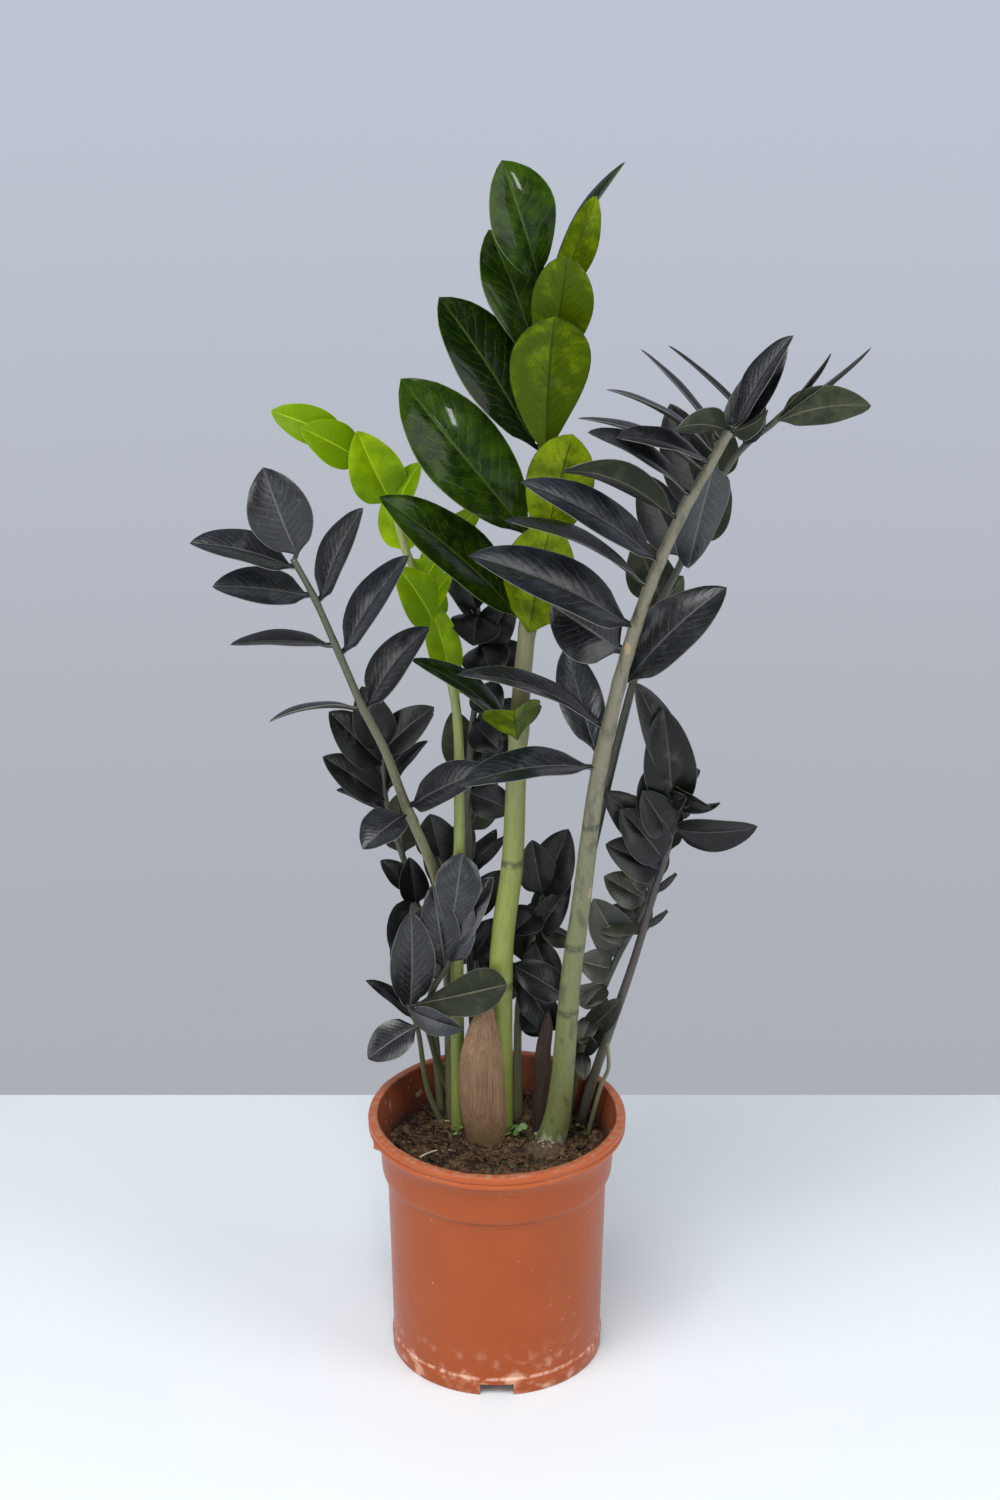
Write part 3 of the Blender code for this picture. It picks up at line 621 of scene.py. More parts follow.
def stem_finish(name, low, high, foot, head, patch, patches, rings=(), crusted=0, scars=()):
    """A fleshy stem: one colour at a height of foot, another at head, blotched, with dark rings round it.

    crusted is the height its foot is crusted white up to, and scars are the middles of its corky patches.
    """
    paint = finish(name, 0.5, 0.12, 0.25)
    up = paint.height()
    colour = paint.blend(paint.rise(up, foot, head), low, high)
    lines = paint.mottle(0.9, (1, 1, 16), 3.0)
    colour = paint.blend(paint.rise(lines, 0.45, 0.75) * 0.5, colour, tuple(0.5 * c for c in low))
    blotch = paint.rise(paint.mottle(7, (1, 1, 2.5), 5.0), 0.62 - patches, 0.74 - patches * 0.6)
    colour = paint.blend(blotch * (0.25 + 3.5 * patches), colour, patch)
    for ring in rings:
        band = paint.rise(abs(up + paint.mottle(8) * 4 - ring - 2), 4.2, 0.6)
        broken = paint.rise(paint.mottle(3), 0.25, 0.55)
        colour = paint.blend(band * broken * 0.8, colour, (0.03, 0.032, 0.015))
    for scar in scars:
        x, y, z = scar + AXIS / MM
        ends = {0: paint.spot(1, (1, 1, 2)), 1: (x, y, z / 2)}
        off = paint.node("VectorMath", {"operation": "DISTANCE"}, ends, "Value")
        cork = paint.rise(off + paint.mottle(1.5) * 1.5, 3.1, 2.6)
        colour = paint.blend(cork, colour, (0.30, 0.22, 0.12))
    if crusted:
        salt = paint.rise(up + paint.mottle(3, (1, 1, 3), 5.0) * 44, crusted + 22, crusted)
        colour = paint.blend(salt * 0.7, colour, (0.55, 0.54, 0.46))
    flecks = paint.specks(1.8, 0.15, 0.55)
    colour = paint.blend(flecks * 0.55, colour, (0.5, 0.5, 0.4))
    paint.surface(colour, 0.4 + lines * 0.2, lines * 0.6 + paint.mottle(3), 0.25)
    return paint


def way_out(stem, height, reach):
    """Where a leaflet leaves its stem: the stem's middle and radius, the way out and how steep it is."""
    point, along, radius = on_stem(stem, height)
    out = (reach - along * reach.dot(along)).normalized()
    return point, radius, out, abs(reach.normalized().dot(along))


def cane(name, stem, leaves, skin, upper, under, stem_slot, leaf_slot):
    """A stout stem and its leaflets, each a piece of its own."""
    bm = leafy()
    stalk(bm, stem, leaves, 28, 0)
    place(f"{name}_cane", bm, skin, slot=stem_slot, nodes=[f"stem_{name}"])
    for i, (height, reach, width, face, *shape) in enumerate(leaves):
        point, radius, out, slope = way_out(stem, height, Vector(reach))
        foot = point + out * (radius + 0.6 + PETIOLE_HALF_WIDTH * slope)
        bm = leafy()
        dice = random.Random(f"{name} {i}")
        blade(bm, point + out * (0.55 * radius), foot, dice, reach, width, face, *shape)
        leaf = f"{i + 1:02d}"
        place(f"{name}_leaflet_{leaf}", bm, upper, under, slot=leaf_slot, nodes=[f"leaf_{name}_{leaf}"])


green = shaft(
    [
        (2, 20), (3, 18, 280), (10, 14, 352), (13, 9, 430), (18, 2, 509), (27, -4, 581),
        (30, -9, 660), (30, -14, 748),
    ],
    (9, 3.2),
)
green_leaves = [
    (749, (-22, -10, 76), 42, 15, 0.07, 14, 0.6), (742, (42, 26, 70), 30, -72, 0.05, 10),
    (735, (24, -30, 74), 24, 150, 0.03, 8, 0.5), (686, (9, -32, 88), 38, 165, 0.02, 8, 0.6),
    (636, (4, -36, 102), 48, 178, 0.02, 8, 0.64), (690, (-30, 12, 84), 44, 25, 0.07, 14, 0.58),
    (640, (-58, 6, 94), 44, 20, 0.07, 14, 0.58), (582, (-78, -6, 104), 52, 10, 0.07, 14, 0.58),
    (527, (-84, -34, 93), 44, 40, 0.07, 14, 0.52), (572, (17, -28, 90), 42, 168, 0.0, 2, 0.62),
    (520, (13, -28, 84), 46, 172, 0.02, 4, 0.5), (452, (-60, -33, 60), 26, 58),
    (446, (-2, -32, 34), 38, 190, 0.02, 26, 0.55),
]

GLOSS = (0.07, 0.2, 0.07)
green_upper = blade_finish(
    "green_leaf_upper", (0.024, 0.054, 0.0008), (0.0025, 0.0095, 0.0006), (0.07, 0.13, 0.01),
    (0.05, 0.09, 0.012), (0.16, 0.22, 0.08), 0.3, 0.6, 0.34, 0.08, GLOSS,
)
SOFT = (0.1,)
green_under = blade_finish(
    "green_leaf_under", (0.19, 0.265, 0.0005), (0.048, 0.082, 0.0004), (0.018, 0.03, 0.001),
    (0.018, 0.03, 0.002), (0.012, 0.018, 0.003), 0.45, 0.9, 0.2, 0.25, SOFT,
)
green_skin = stem_finish(
    "green_stem", (0.20, 0.235, 0.042), (0.19, 0.185, 0.092), 320, 500, (0.11, 0.13, 0.05), 0.03,
    (353, 262, 590),
)
cane("green", green, green_leaves, green_skin, green_upper, green_under, "green_stem", "green_leaf")

# The stout stem on the right: grey-green below, blotched with brown-grey higher up, and crusted white where
# it leaves its tuber. Its near-black leaflets stand in two ranks, and some at the top show olive undersides.
right = shaft(
    [
        (35, 8), (39, 7.5, 162), (43, 6, 195), (48, 2, 273), (54, -5, 332), (63, -18, 425),
        (75, -30, 495), (86, -40, 544), (98, -46, 583), (111, -52, 617), (126, -59, 650), (137, -64, 674),
    ],
    (8, 2.6), flare=2.5,
)
right_leaves = [
    (435, (-82, -28, 0), 34, 55), (464, (-88, -24, 46), 26, 62, 0.1),
    (443, (-18, 22, 62), 28, 5, 0.05, 10, 0.5), (538, (-96, -36, 60), 40, 38),
    (567, (-84, -34, 54), 28, 68), (584, (-80, -34, 62), 34, 45),
    (613, (-68, -36, 42), 32, 116, 0.11, 14, 0.55), (629, (-60, -28, 48), 28, 60),
    (651, (-54, -26, 24), 28, 60), (657, (-62, 6, 36), 20, 78), (645, (-73, 4, 30), 22, 75),
    (666, (-46, 18, 48), 14, 70, 0.03), (674, (31, -10, 60), 22, -50, 0.05),
    (664, (36, 14, 56), 22, -20, 0.05), (676, (-32, -36, 12), 24, 120),
    (677, (18, -26, 22), 16, 130), (648, (-11, 43, -82), 34, -30, -0.03, 0, 0.44),
    (497, (60, 12, 58), 40, -30), (519, (-42, 8, 27), 42, 0),
]

SATIN = (0.5,)
black_upper = blade_finish(
    "black_leaf_upper", (0.017, 0.023, 0.031), (0.004, 0.0052, 0.0068), (0.09, 0.097, 0.098),
    (0.10, 0.105, 0.095), (0.20, 0.20, 0.17), 0.30, 0.9, 0.14, 0.6, SATIN,
)
black_under = blade_finish(
    "black_leaf_under", (0.066, 0.078, 0.042), (0.022, 0.027, 0.017), (0.012, 0.015, 0.009),
    (0.14, 0.15, 0.09), (0.14, 0.145, 0.11), 0.46, 0.45, 0.1, 0.4, SOFT,
)
scars = [on_stem(right, 522)[0] + Vector((-1, -4.5, 2)), on_stem(right, 342)[0] + Vector((5, -4, 0))]
grey_skin = stem_finish(
    "grey_stem", (0.13, 0.148, 0.048), (0.165, 0.155, 0.105), 230, 470, (0.04, 0.036, 0.03), 0.1,
    (392, 250, 300), 160, scars,
)
cane("right", right, right_leaves, grey_skin, black_upper, black_under, "grey_stem", "black_leaf")

# The slender stem that arches out to the left: dark olive, thin, with leaflets in pairs and a broad one at
# its end.
left = shaft(
    [
        (-30, 46), (-32, 42, 265), (-38, 33, 326), (-58, 14, 393), (-70, -4, 439),
        (-83, -18, 475), (-95, -34, 515), (-109, -50, 560), (-121, -60, 590),
    ],
    (4.6, 1.8),
)
left_leaves = [
    (591, (-18, -14, 61), 38, 0, 0.07, 14, 0.55), (585, (-60, -8, 19), 30, 48),
    (564, (-56, -14, 12), 30, 40, 0.03), (526, (-60, -10, 5), 22, 62, 0.04),
    (476, (-54, -12, -4), 20, 80, 0.08), (558, (26, -2, 60), 28, -45), (518, (40, -4, 65), 28, -42),
    (474, (38, -2, 54), 30, -38), (392, (50, -22, 36), 30, -40), (387, (-26, -24, -12), 32, 40),
]

slim_skin = stem_finish(
    "slim_stem", (0.15, 0.15, 0.075), (0.07, 0.075, 0.045), 350, 540, (0.04, 0.04, 0.03), 0.04
)
cane("left", left, left_leaves, slim_skin, black_upper, black_under, "slim_stem", "black_leaf")

# The new lime-green shoot between them. Its leaflets are still soft, thin and almost without veins.


def shoot(name, stem, leaves, skin, upper, under, slot):
    """A slender stem and its leaflets, as one piece."""
    bm = leafy()
    stalk(bm, stem, leaves, 16, 2)
    for i, (height, reach, width, face, *shape) in enumerate(leaves):
        point, radius, out, _ = way_out(stem, height, Vector(reach))
        foot = point + out * (0.3 * radius)
        dice = random.Random(f"{name} {i}")
        blade(bm, foot - out * (0.2 * radius), foot, dice, reach, width, face, *shape)
    place(f"{name}_shoot", bm, upper, under, skin, slot=slot, nodes=[f"shoot_{name}"])


lime = shaft(
    [
        (-26, 32), (-26, 29, 273), (-24, 24, 379), (-26, 24, 459), (-41, 26, 521),
        (-57, 30, 562), (-67, 32, 597), (-86, 34, 623), (-94, 36, 633),
    ],
    (5, 1.8),
)
lime_leaves = [
    (632, (-45, 2, 18), 24, 0), (620, (-36, -10, 24), 28, 10), (592, (-20, -14, 52), 34, 0),
    (599, (6, -4, 20), 10, 20), (584, (16, -10, 38), 20, -30), (555, (18, 4, -24), 18, 0),
    (509, (-24, -12, 48), 30, 20), (524, (14, -10, 28), 14, -20), (474, (-14, 0, 58), 22, 10),
    (537, (38, 8, 52), 24, -30), (467, (18, -3, 16), 10, 0), (560, (-10, 34, 30), 28, 180),
]

lime_upper = blade_finish(
    "lime_leaf_upper", (0.26, 0.40, 0.0008), (0.13, 0.235, 0.0005), (0.20, 0.34, 0.002), (0.40, 0.53, 0.02),
    (0.36, 0.47, 0.02), 0.42, 0.3, 0.14, 0.1, SOFT,
)
lime_under = blade_finish(
    "lime_leaf_under", (0.27, 0.41, 0.0015), (0.155, 0.27, 0.0008), (0.18, 0.30, 0.002), (0.40, 0.52, 0.02),
    (0.36, 0.47, 0.02), 0.5, 0.3, 0.1, 0.1, SOFT,
)
lime_skin = stem_finish(
    "lime_stem", (0.21, 0.26, 0.06), (0.27, 0.30, 0.10), 350, 520, (0.12, 0.15, 0.04), 0.0
)
shoot("lime", lime, lime_leaves, lime_skin, lime_upper, lime_under, "lime_shoot")

# Shorter dark shoots that crowd round the tall stems, each a thin stem with its leaflets.
dark_skin = stem_finish(
    "dark_stem", (0.12, 0.125, 0.065), (0.045, 0.047, 0.033), 160, 300, (0.03, 0.03, 0.022), 0.05
)
# shade_upper is the near-black leaf finish made darker, less blue and less glossy: painted shade for the
# leaflets of the shoots that crowd among the others.
shade_upper = blade_finish(
    "shaded_leaf_upper", (0.015, 0.018, 0.017), (0.003, 0.004, 0.004), (0.035, 0.038, 0.034),
    (0.06, 0.065, 0.05), (0.12, 0.12, 0.09), 0.36, 0.4, 0.12, 0.8, (0.28,),
)
SHADED = (dark_skin, shade_upper, black_under, "dark_shoot")
behind_left = shaft(
    [(-38, 54), (-46, 62, 255), (-59, 70, 317), (-72, 76, 361), (-75, 80, 401)], (3, 1.6)
)
behind_left_leaves = [
    (401, (-12, -4, 48), 28, 10), (392, (-34, -6, 40), 30, 15), (368, (-40, -6, 33), 26, 20),
    (400, (34, -4, 34), 26, -20), (389, (33, 8, 35), 24, -50), (372, (28, 14, 31), 20, -60),
    (358, (-34, 8, 13), 18, 60), (380, (-8, 34, 24), 26, 180), (296, (-4, -12, 40), 20, 10),
    (302, (-8, -16, -44), 26, 0, 0.1), (306, (-20, -2, 22), 16, 20), (330, (-4, 32, 28), 26, 180),
]
shoot("behind_left", behind_left, behind_left_leaves, *SHADED)

middle = shaft(
    [(-13, 42), (-17, 39, 264), (-19, 39, 344), (-17, 42, 421), (-10, 43, 481), (-12, 42, 518)],
    (3.4, 1.6),
)
middle_leaves = [
    (505, (-22, -2, 30), 16, 40), (516, (-14, -4, 34), 22, 0),
    (512, (-3, -30, -8), 32, 0, 0.1, 10, 0.55), (492, (8, -32, -10), 31, 0, 0.1, 10, 0.55),
    (488, (20, -4, 38), 26, -10), (474, (30, 2, 14), 24, -20),
    (463, (14, -28, -6), 24, 0, 0.1, 10, 0.55), (450, (30, -8, -6), 22, 10),
    (438, (16, -24, -8), 24, 0, 0.1, 10, 0.55), (428, (30, -2, 0), 22, 20),
    (436, (44, 8, 10), 24, 10), (390, (28, -2, -12), 24, 10), (379, (13, 14, 36), 26, 0),
    (334, (24, 6, 22), 9, 0), (268, (20, -2, 32), 24, -10), (300, (22, 8, 30), 20, -10),
    (404, (-10, 34, 28), 26, 180), (362, (16, 32, 26), 26, 180),
]
shoot("middle", middle, middle_leaves, *SHADED)

behind_right = shaft(
    [
        (46, 27), (48, 29, 261), (62, 36, 351), (93, 50, 486), (115, 56, 539), (146, 58, 608),
        (174, 58, 637),
    ],
    (4, 1.8),
)
behind_right_leaves = [
    (637, (57, -8, 12), 30, -140, 0.1, 10, 0.45), (636, (34, 6, 42), 11, 70, 0.02),
    (634, (61, 12, 46), 12, 75, 0.02), (632, (-36, -18, -4), 10, 60, 0.02),
    (628, (-58, 2, 56), 12, 70, 0.03), (620, (10, -6, 32), 14, 0), (576, (-22, 10, 68), 34, 0),
    (546, (-26, 4, 54), 32, 0), (596, (-6, 36, 36), 30, 180), (560, (24, 44, 20), 32, 180),
    (518, (-14, 44, 24), 32, 180), (495, (24, 36, 26), 30, 200), (246, (-36, 8, 20), 24, 10),
]
shoot("behind_right", behind_right, behind_right_leaves, *SHADED)

centre = shaft([(14, 44), (15, 44, 237), (26, 46, 288), (31, 48, 316)], (3.2, 1.6))
centre_leaves = [
    (312, (-7, -4, 42), 26, 0), (312, (16, -4, 50), 30, -10), (300, (-18, -12, -10), 24, 20),
    (281, (14, -12, -32), 24, 10), (292, (28, 2, -14), 24, 120), (240, (-18, -8, 24), 30, 10),
    (281, (22, -2, 38), 20, 0), (228, (18, -8, -6), 20, 20), (215, (24, -6, 4), 12, 30),
    (252, (22, -10, -34), 24, 10), (262, (6, 28, 32), 28, 180), (292, (20, 30, 24), 24, 170),
]
shoot("centre", centre, centre_leaves, *SHADED)

front_left = shaft([(-38, 38), (-47, 34, 176), (-52, 26, 222), (-58, 18, 246)], (2.2, 1.4))
front_left_leaves = [
    (245, (2, -10, 75), 30, 10, 0.07, 14, 0.5), (245, (64, -26, 30), 30, 165, 0.04, 8, 0.66),
    (241, (34, -18, -4), 20, 30), (226, (-32, -8, -20), 26, 20), (232, (-32, 6, 26), 16, 55),
    (238, (-14, 18, 40), 22, 40),
]
shoot("front_left", front_left, front_left_leaves, dark_skin, black_upper, black_under, "dark_shoot")

front_middle = shaft(
    [
        (-24, 56), (-35, 53, 168), (-43, 41, 204), (-47, 31, 232), (-41, 24, 256),
        (-32, 20, 276), (-30, 16, 300),
    ],
    (3, 1.6),
)
front_middle_leaves = [
    (272, (-8, -3, 62), 26, 0), (276, (14, -3, 50), 26, -10), (262, (-18, 4, 40), 24, 10),
    (298, (8, 0, 60), 30, 5, 0.05, 12, 0.66), (288, (28, 4, 50), 22, -20),
]
shoot("front_middle", front_middle, front_middle_leaves, dark_skin, black_upper, black_under, "dark_shoot")

back_left = shaft([(-4, 58), (-10, 61, 229), (-24, 63, 286), (-37, 64, 332)], (3, 1.6))
back_left_leaves = [
    (332, (-7, -2, 32), 28, 0), (323, (18, -4, 34), 28, -10), (296, (22, -2, 16), 22, 10),
    (283, (16, -6, -16), 22, 10), (267, (20, -4, -14), 10, 0), (308, (-14, -12, 16), 16, 10),
    (298, (-34, -16, -24), 24, 10), (317, (32, -2, 36), 20, 40), (285, (4, 32, 24), 28, 180),
    (310, (-14, 34, 24), 26, 180), (240, (12, 30, 24), 26, 180), (252, (-20, 22, 26), 24, 170),
]
shoot("back_left", back_left, back_left_leaves, *SHADED)

# The purple-brown stem at the far right, and the small olive shoot beside it.
purple_skin = stem_finish(
    "purple_stem", (0.085, 0.08, 0.06), (0.045, 0.036, 0.036), 170, 280, (0.025, 0.02, 0.02), 0.04
)
purple = shaft(
    [(56, 34), (66, 30, 190), (88, 29, 266), (101, 29, 318), (112, 30, 364), (112, 30, 404)],
    (3.6, 1.8),
)
purple_leaves = [
    (404, (-24, -6, 70), 26, 25), (382, (-7, -8, 76), 34, 0), (399, (25, -18, -7), 18, 60),
    (402, (18, 4, 6), 12, 0), (384, (30, -10, 8), 12, 60), (369, (54, -14, 8), 28, 40),
    (388, (8, -22, 14), 14, 0), (365, (-19, -15, 38), 26, 10), (361, (-17, -5, 50), 28, 0),
    (354, (-41, -2, 42), 28, 5), (346, (-29, -11, 42), 30, 5), (338, (-36, -13, 26), 28, 10),
    (338, (-24, -12, 0), 14, 140), (323, (14, 4, 12), 5, 0), (297, (15, 4, 11), 5, 0),
    (350, (-6, 36, 30), 30, 180), (372, (4, 36, 24), 26, 180),
]
shoot("purple", purple, purple_leaves, purple_skin, shade_upper, black_under, "dark_shoot")

olive_upper = blade_finish(
    "olive_leaf_upper", (0.050, 0.060, 0.032), (0.016, 0.020, 0.013), (0.012, 0.014, 0.009),
    (0.12, 0.13, 0.07), (0.12, 0.12, 0.07), 0.42, 0.3, 0.15, 0.4, SATIN,
)
olive = shaft(
    [(47, 43), (58, 40, 208), (76, 38, 262), (88, 40, 288), (98, 40, 312), (102, 40, 330)],
    (3.2, 1.5),
)
olive_leaves = [
    (290, (-29, -9, 12), 26, 10), (312, (-28, -6, 20), 24, 10), (326, (-16, -12, 16), 22, 10),
    (328, (8, 10, 18), 14, 0), (278, (-20, -13, 42), 28, 0), (300, (-26, -14, -4), 24, 25),
    (262, (-23, -14, 14), 24, 10), (250, (-14, -16, -8), 16, 20), (240, (-18, -14, 14), 18, 0),
    (226, (-8, -16, -12), 14, 10), (216, (22, -15, 32), 18, 0), (206, (4, -20, 16), 16, 20),
    (199, (2, -18, -12), 12, 0), (192, (18, 2, 46), 18, 0), (270, (-14, 14, 26), 18, 0),
    (286, (12, 26, 20), 22, 180),
]
shoot("olive", olive, olive_leaves, dark_skin, olive_upper, black_under, "olive_shoot")

# The thin pale stalk in front of them has lost its leaflets.
thin = shaft([(61, 21), (69, 22, 182), (74, 22, 196), (73, 19, 216)], (1.8, 1.2))
shoot("thin", thin, [], slim_skin, black_upper, black_under, "pale_stem")

# The dried sheaths: papery brown leaf bases that once wrapped young stems. The large one stands in front of
# the green stem like a boat on end; a darker, ragged one stands behind the stout stem.
SHEATH_STEPS = 7
SHEATH_POINTS = 25


def sheath(name, stations, tip, sweep, thickness, ruffle, paint, slot, node):
    """A papery shell, hollow towards the back, of level arcs: (height, across, back, half width, depth)."""
    knots = [*stations, (tip[2], tip[0], tip[1], 0.5, 0.4)]
    arcs = []
    for k in range(len(knots) - 1):
        four = [knots[max(0, min(len(knots) - 1, k + j))] for j in (-1, 0, 1, 2)]
        for step in range(SHEATH_STEPS):
            arcs.append([bend(*sizes, step / SHEATH_STEPS) for sizes in zip(*four)])
    arcs.append(knots[-1])
    bm = bmesh.new()
    rings = []
    for height, across, back, half, depth in arcs:
        outer = []
        inner = []
        for k in range(SHEATH_POINTS):
            share = k / (SHEATH_POINTS - 1)
            a = math.radians(-90 - sweep / 2 + sweep * share)
            wave = ruffle * noise.noise(Vector((share * 4, 3, height / 22)))
            keel = 0.05 * half * math.exp(-(((share - 0.52) / 0.05) ** 2))
            for arc, shrink in ((outer, 0), (inner, min(thickness, 0.7 * half))):
                x = across + (half - shrink + wave) * math.cos(a)
                y = back + (depth - shrink + wave + keel) * math.sin(a)
                arc.append(bm.verts.new((x, y, height)))
        rings.append(outer + inner[::-1])
    join(bm, rings)
    bm.faces.new(rings[0])
    bm.faces.new(rings[-1])
    place(name, bm, paint, slot=slot, nodes=[node])


def papery(name, pale, brown, dark, foot, height):
    """Dried leaf base: brown with fine lengthwise fibres and darker patches, yellower at its foot."""
    paint = finish(name, 0.3)
    fibres = paint.mottle(0.5, (1, 1, 110), 2.0)
    broad = paint.mottle(4, (1, 1, 12), 3.0)
    patch = paint.mottle(12, (1, 1, 2), 4.0)
    colour = paint.blend(paint.rise(patch, 0.3, 0.75) * 0.7, pale, brown)
    colour = paint.blend(paint.rise(fibres, 0.42, 0.68) * 0.6, colour, dark)
    colour = paint.blend(paint.rise(broad, 0.52, 0.8) * 0.3, colour, dark)
    low = paint.rise(paint.height() + patch * 16, height + 16, height - 4)
    colour = paint.blend(low * 0.65, colour, foot)
    paint.surface(colour, 0.62 + fibres * 0.2, fibres * 0.6 + broad, 0.5)
    return paint


brown_arcs = [
    (SOIL_FOOT - 4, -7, 11, 11.6, 6),
    (165, -8, 9, 15, 8),
    (190, -10, 8, 15.5, 8),
    (215, -10, 8, 14, 7.5),
    (235, -9, 8, 10, 6),
    (249, -7, 7, 5, 3.5),
]
brown_paper = papery(
    "brown_sheath", (0.26, 0.16, 0.088), (0.165, 0.095, 0.058), (0.06, 0.033, 0.022), (0.18, 0.13, 0.05), 158
)
sheath("brown_sheath", brown_arcs, (-6, 7, 259), 156, 0.7, 0.5, brown_paper, "dried_sheath", "sheath_brown")
dark_arcs = [
    (SOIL_FOOT - 4, 29, 24, 5, 3.5),
    (175, 30, 25, 6, 4),
    (205, 31, 26, 5.5, 4),
    (225, 33, 27, 4, 3),
]
dark_paper = papery(
    "dark_sheath", (0.05, 0.03, 0.022), (0.03, 0.017, 0.014), (0.012, 0.008, 0.007), (0.04, 0.03, 0.02), 150
)
sheath("dark_sheath", dark_arcs, (34, 26, 238), 150, 0.8, 1.6, dark_paper, "dark_sheath", "sheath_dark")

# The top of the tuber that the stout stem grows from, just breaking the soil, with a chalky crust round it.
bm = bmesh.new()
spot = Matrix.Translation((31, -3, 145.5)) @ Matrix.Diagonal((32, 24, 17, 1))
for vert in bmesh.ops.create_icosphere(bm, subdivisions=4, radius=0.5, matrix=spot)["verts"]:
    vert.co += 1.8 * noise.noise_vector(vert.co / 5)
corky = finish("tuber_skin", 0.3)
bark = corky.mottle(2.5, detail=5.0)
crust = corky.rise(bark, 0.52, 0.64) * corky.rise(corky.height(), 151.5, 154.5)
skin = corky.blend(bark, (0.035, 0.022, 0.014), (0.13, 0.085, 0.05))
skin = corky.blend(crust * 0.8, skin, (0.55, 0.5, 0.4))
corky.surface(skin, 0.7 + bark * 0.2, bark, 1.2)
place("tuber_top", bm, corky, slot="soil_peat")

# Seedlings of small weeds, and one bare root, on the soil between the stems.
sprout = finish("seedling_green")
sprout.surface(sprout.blend(sprout.mottle(2.5), (0.07, 0.14, 0.035), (0.17, 0.27, 0.09)), 0.5)
pale_root = finish("pale_root")
pale_root.surface(pale_root.blend(pale_root.mottle(2), (0.34, 0.30, 0.2), (0.5, 0.46, 0.34)), 0.6)


def seed_leaf(bm, stalk_foot, centre, across, turn, tilt):
    """A round seed leaf, slightly cupped, on a thread of a stalk."""
    line = through([stalk_foot, stalk_foot.lerp(centre, 0.5) + Vector((0, 0, 0.8)), centre], 1)
    tube(bm, line, [0.22] * len(line), 5)
    spin = Matrix.Translation(centre) @ Matrix.Rotation(turn, 4, "Z") @ Matrix.Rotation(tilt, 4, "X")
    shape = spin @ Matrix.Diagonal((across, across * 0.9, across * 0.22, 1))
    for vert in bmesh.ops.create_icosphere(bm, subdivisions=3, radius=0.5, matrix=shape)["verts"]:
        vert.co.z += 0.07 * ((vert.co - centre).length / across) ** 2 * across * 3


dice = random.Random(5)
bm = bmesh.new()
SEEDLINGS = [
    (12, 14, 11, 5.4), (-31, 20, 3, 3.4), (-26, 27, 2, 2.4), (-41, 47, 3, 2.6), (51, 28, 4, 3.2),
    (60, 22, 3, 3.2), (11, -24, 3, 2.2), (23, 16, 2, 3.0),
]
for x, y, count, across in SEEDLINGS:
    foot = Vector((x, y, soil_height(x, y)))
    for k in range(count):
        turn = 2 * math.pi * (k / count) + dice.uniform(-0.4, 0.4)
        reach = across * dice.uniform(0.45, 1.25)
        lift = across * dice.uniform(0.6, 1.7)
        centre = foot + Vector((reach * math.cos(turn), reach * math.sin(turn), lift))
        seed_leaf(bm, foot, centre, across * dice.uniform(0.8, 1.1), turn, dice.uniform(0.2, 0.9))
place("seedlings", bm, sprout)
bm = bmesh.new()
for spots, thick, thin_end, sides in (
    ([(-51, -8, 0), (-46, -5, 2.2), (-40, -3, 2.8), (-33, -1, 1.6), (-27, -1, -0.5)], 0.8, 0.3, 8),
    ([(-44, 40, 0), (-38, 38, 1.8), (-30, 36, 1.4), (-25, 30, -0.4)], 0.45, 0.45, 6),
):
    line = through([(x, y, soil_height(x, y) + lift) for x, y, lift in spots], 1.5)
    tube(bm, line, [thick - (thick - thin_end) * i / len(line) for i in range(len(line))], sides)
place("bare_roots", bm, pale_root)

# The set: a matt, nearly white table whose back edge lies behind the pot, grey-lavender air beyond it, a tall
# softbox at either side, a smaller one above and in front, and a small lamp low in front for the glints.
SIDE_EDGE = 3
FRONT_EDGE = -4.5
BACK_EDGE = 0.325
LAMPS_FACE = Vector((0, 0, 0.35))
CAMERA_PLACE = (0.0021, -2.027, 1.363)
CAMERA_PITCH = 24.53
table = bpy.data.meshes.new("table")
bm = bmesh.new()
corners = [
    (-SIDE_EDGE, FRONT_EDGE), (SIDE_EDGE, FRONT_EDGE), (SIDE_EDGE, BACK_EDGE), (-SIDE_EDGE, BACK_EDGE)
]
bm.faces.new([bm.verts.new((AXIS.x + x, AXIS.y + y, 0)) for x, y in corners])
bm.to_mesh(table)
bm.free()
laminate = finish("table_top")
laminate.surface(laminate.blend(laminate.mottle(400), (0.80, 0.86, 0.90), (0.86, 0.90, 0.93)), 0.5)
table.materials.append(laminate.holder)
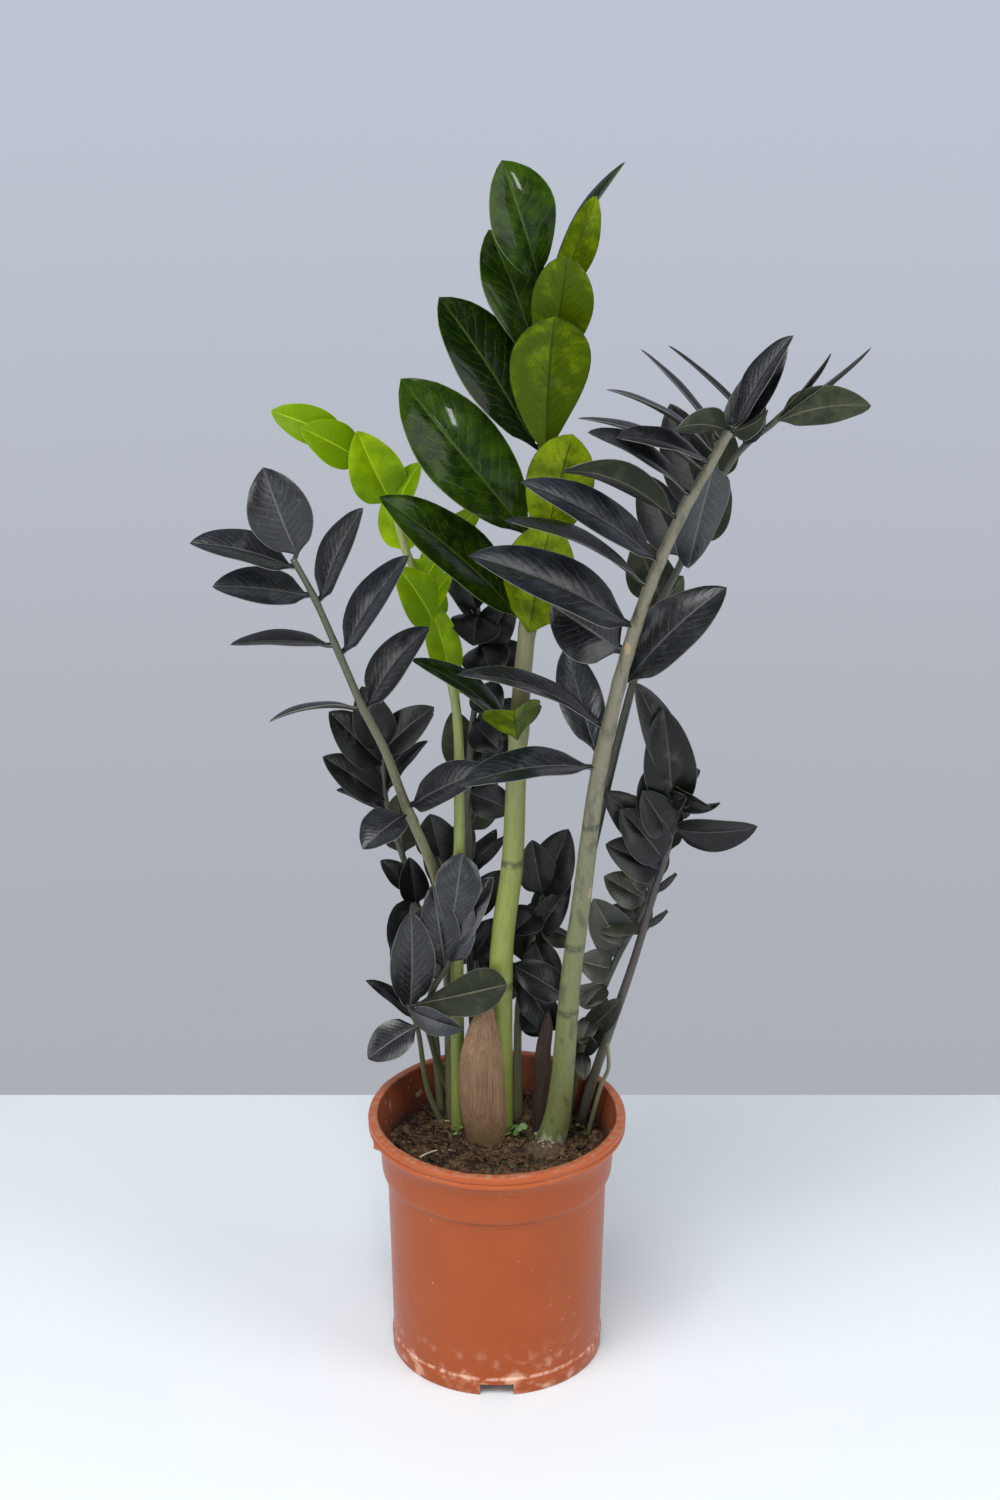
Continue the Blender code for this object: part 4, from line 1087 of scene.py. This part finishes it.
floor = bpy.data.objects.new("table", table)
bpy.context.scene.collection.objects.link(floor)

world = bpy.data.worlds.new("studio")
bpy.context.scene.world = world
air = Paint(world)
heading = air.node("TexCoord", {}, {}, "Generated")
level = air.node("SeparateXYZ", {}, {0: heading}, "Z")
backdrop = air.blend(air.rise(level, -0.52, -0.2), (0.41, 0.425, 0.465), (0.515, 0.555, 0.64))
facing = air.node("SeparateXYZ", {}, {0: heading}, "Y")
room = air.blend(air.rise(facing, -0.5, 0.7), (0.15, 0.155, 0.165), (0.42, 0.44, 0.50))
seen = air.node("LightPath", {}, {}, "Is Camera Ray")
air.fill(air.tree.nodes["Background"], {"Color": air.blend(seen, room, backdrop), "Strength": 1.0})


def softbox(name, across, back, up, wide, tall, watts):
    """A rectangular lamp that faces the middle of the plant."""
    lamp = bpy.data.lights.new(name, "AREA")
    lamp.shape = "RECTANGLE"
    lamp.size = wide
    lamp.size_y = tall
    lamp.energy = watts
    box = bpy.data.objects.new(name, lamp)
    bpy.context.scene.collection.objects.link(box)
    box.location = (across, back, up)
    box.rotation_mode = "QUATERNION"
    box.rotation_quaternion = (box.location - LAMPS_FACE).to_track_quat("Z", "Y")


softbox("left_softbox", -1.3, -1.0, 0.95, 1.0, 1.7, 17)
softbox("right_softbox", 1.4, -0.85, 0.95, 1.0, 1.7, 17)
softbox("front_softbox", -0.4, -1.2, 2.4, 1.2, 1.0, 35)
softbox("small_lamp", 0.14, -1.9, 0.62, 0.1, 0.34, 5)

lens = bpy.data.cameras.new("camera")
lens.sensor_fit = "HORIZONTAL"
lens.sensor_width = 24
lens.sensor_height = 36
lens.lens = 85
camera = bpy.data.objects.new("camera", lens)
bpy.context.scene.collection.objects.link(camera)
camera.location = (AXIS.x + CAMERA_PLACE[0], AXIS.y + CAMERA_PLACE[1], CAMERA_PLACE[2])
camera.rotation_euler = (math.radians(90 - CAMERA_PITCH), 0, 0)
bpy.context.scene.camera = camera
bpy.context.scene.view_settings.view_transform = "Standard"
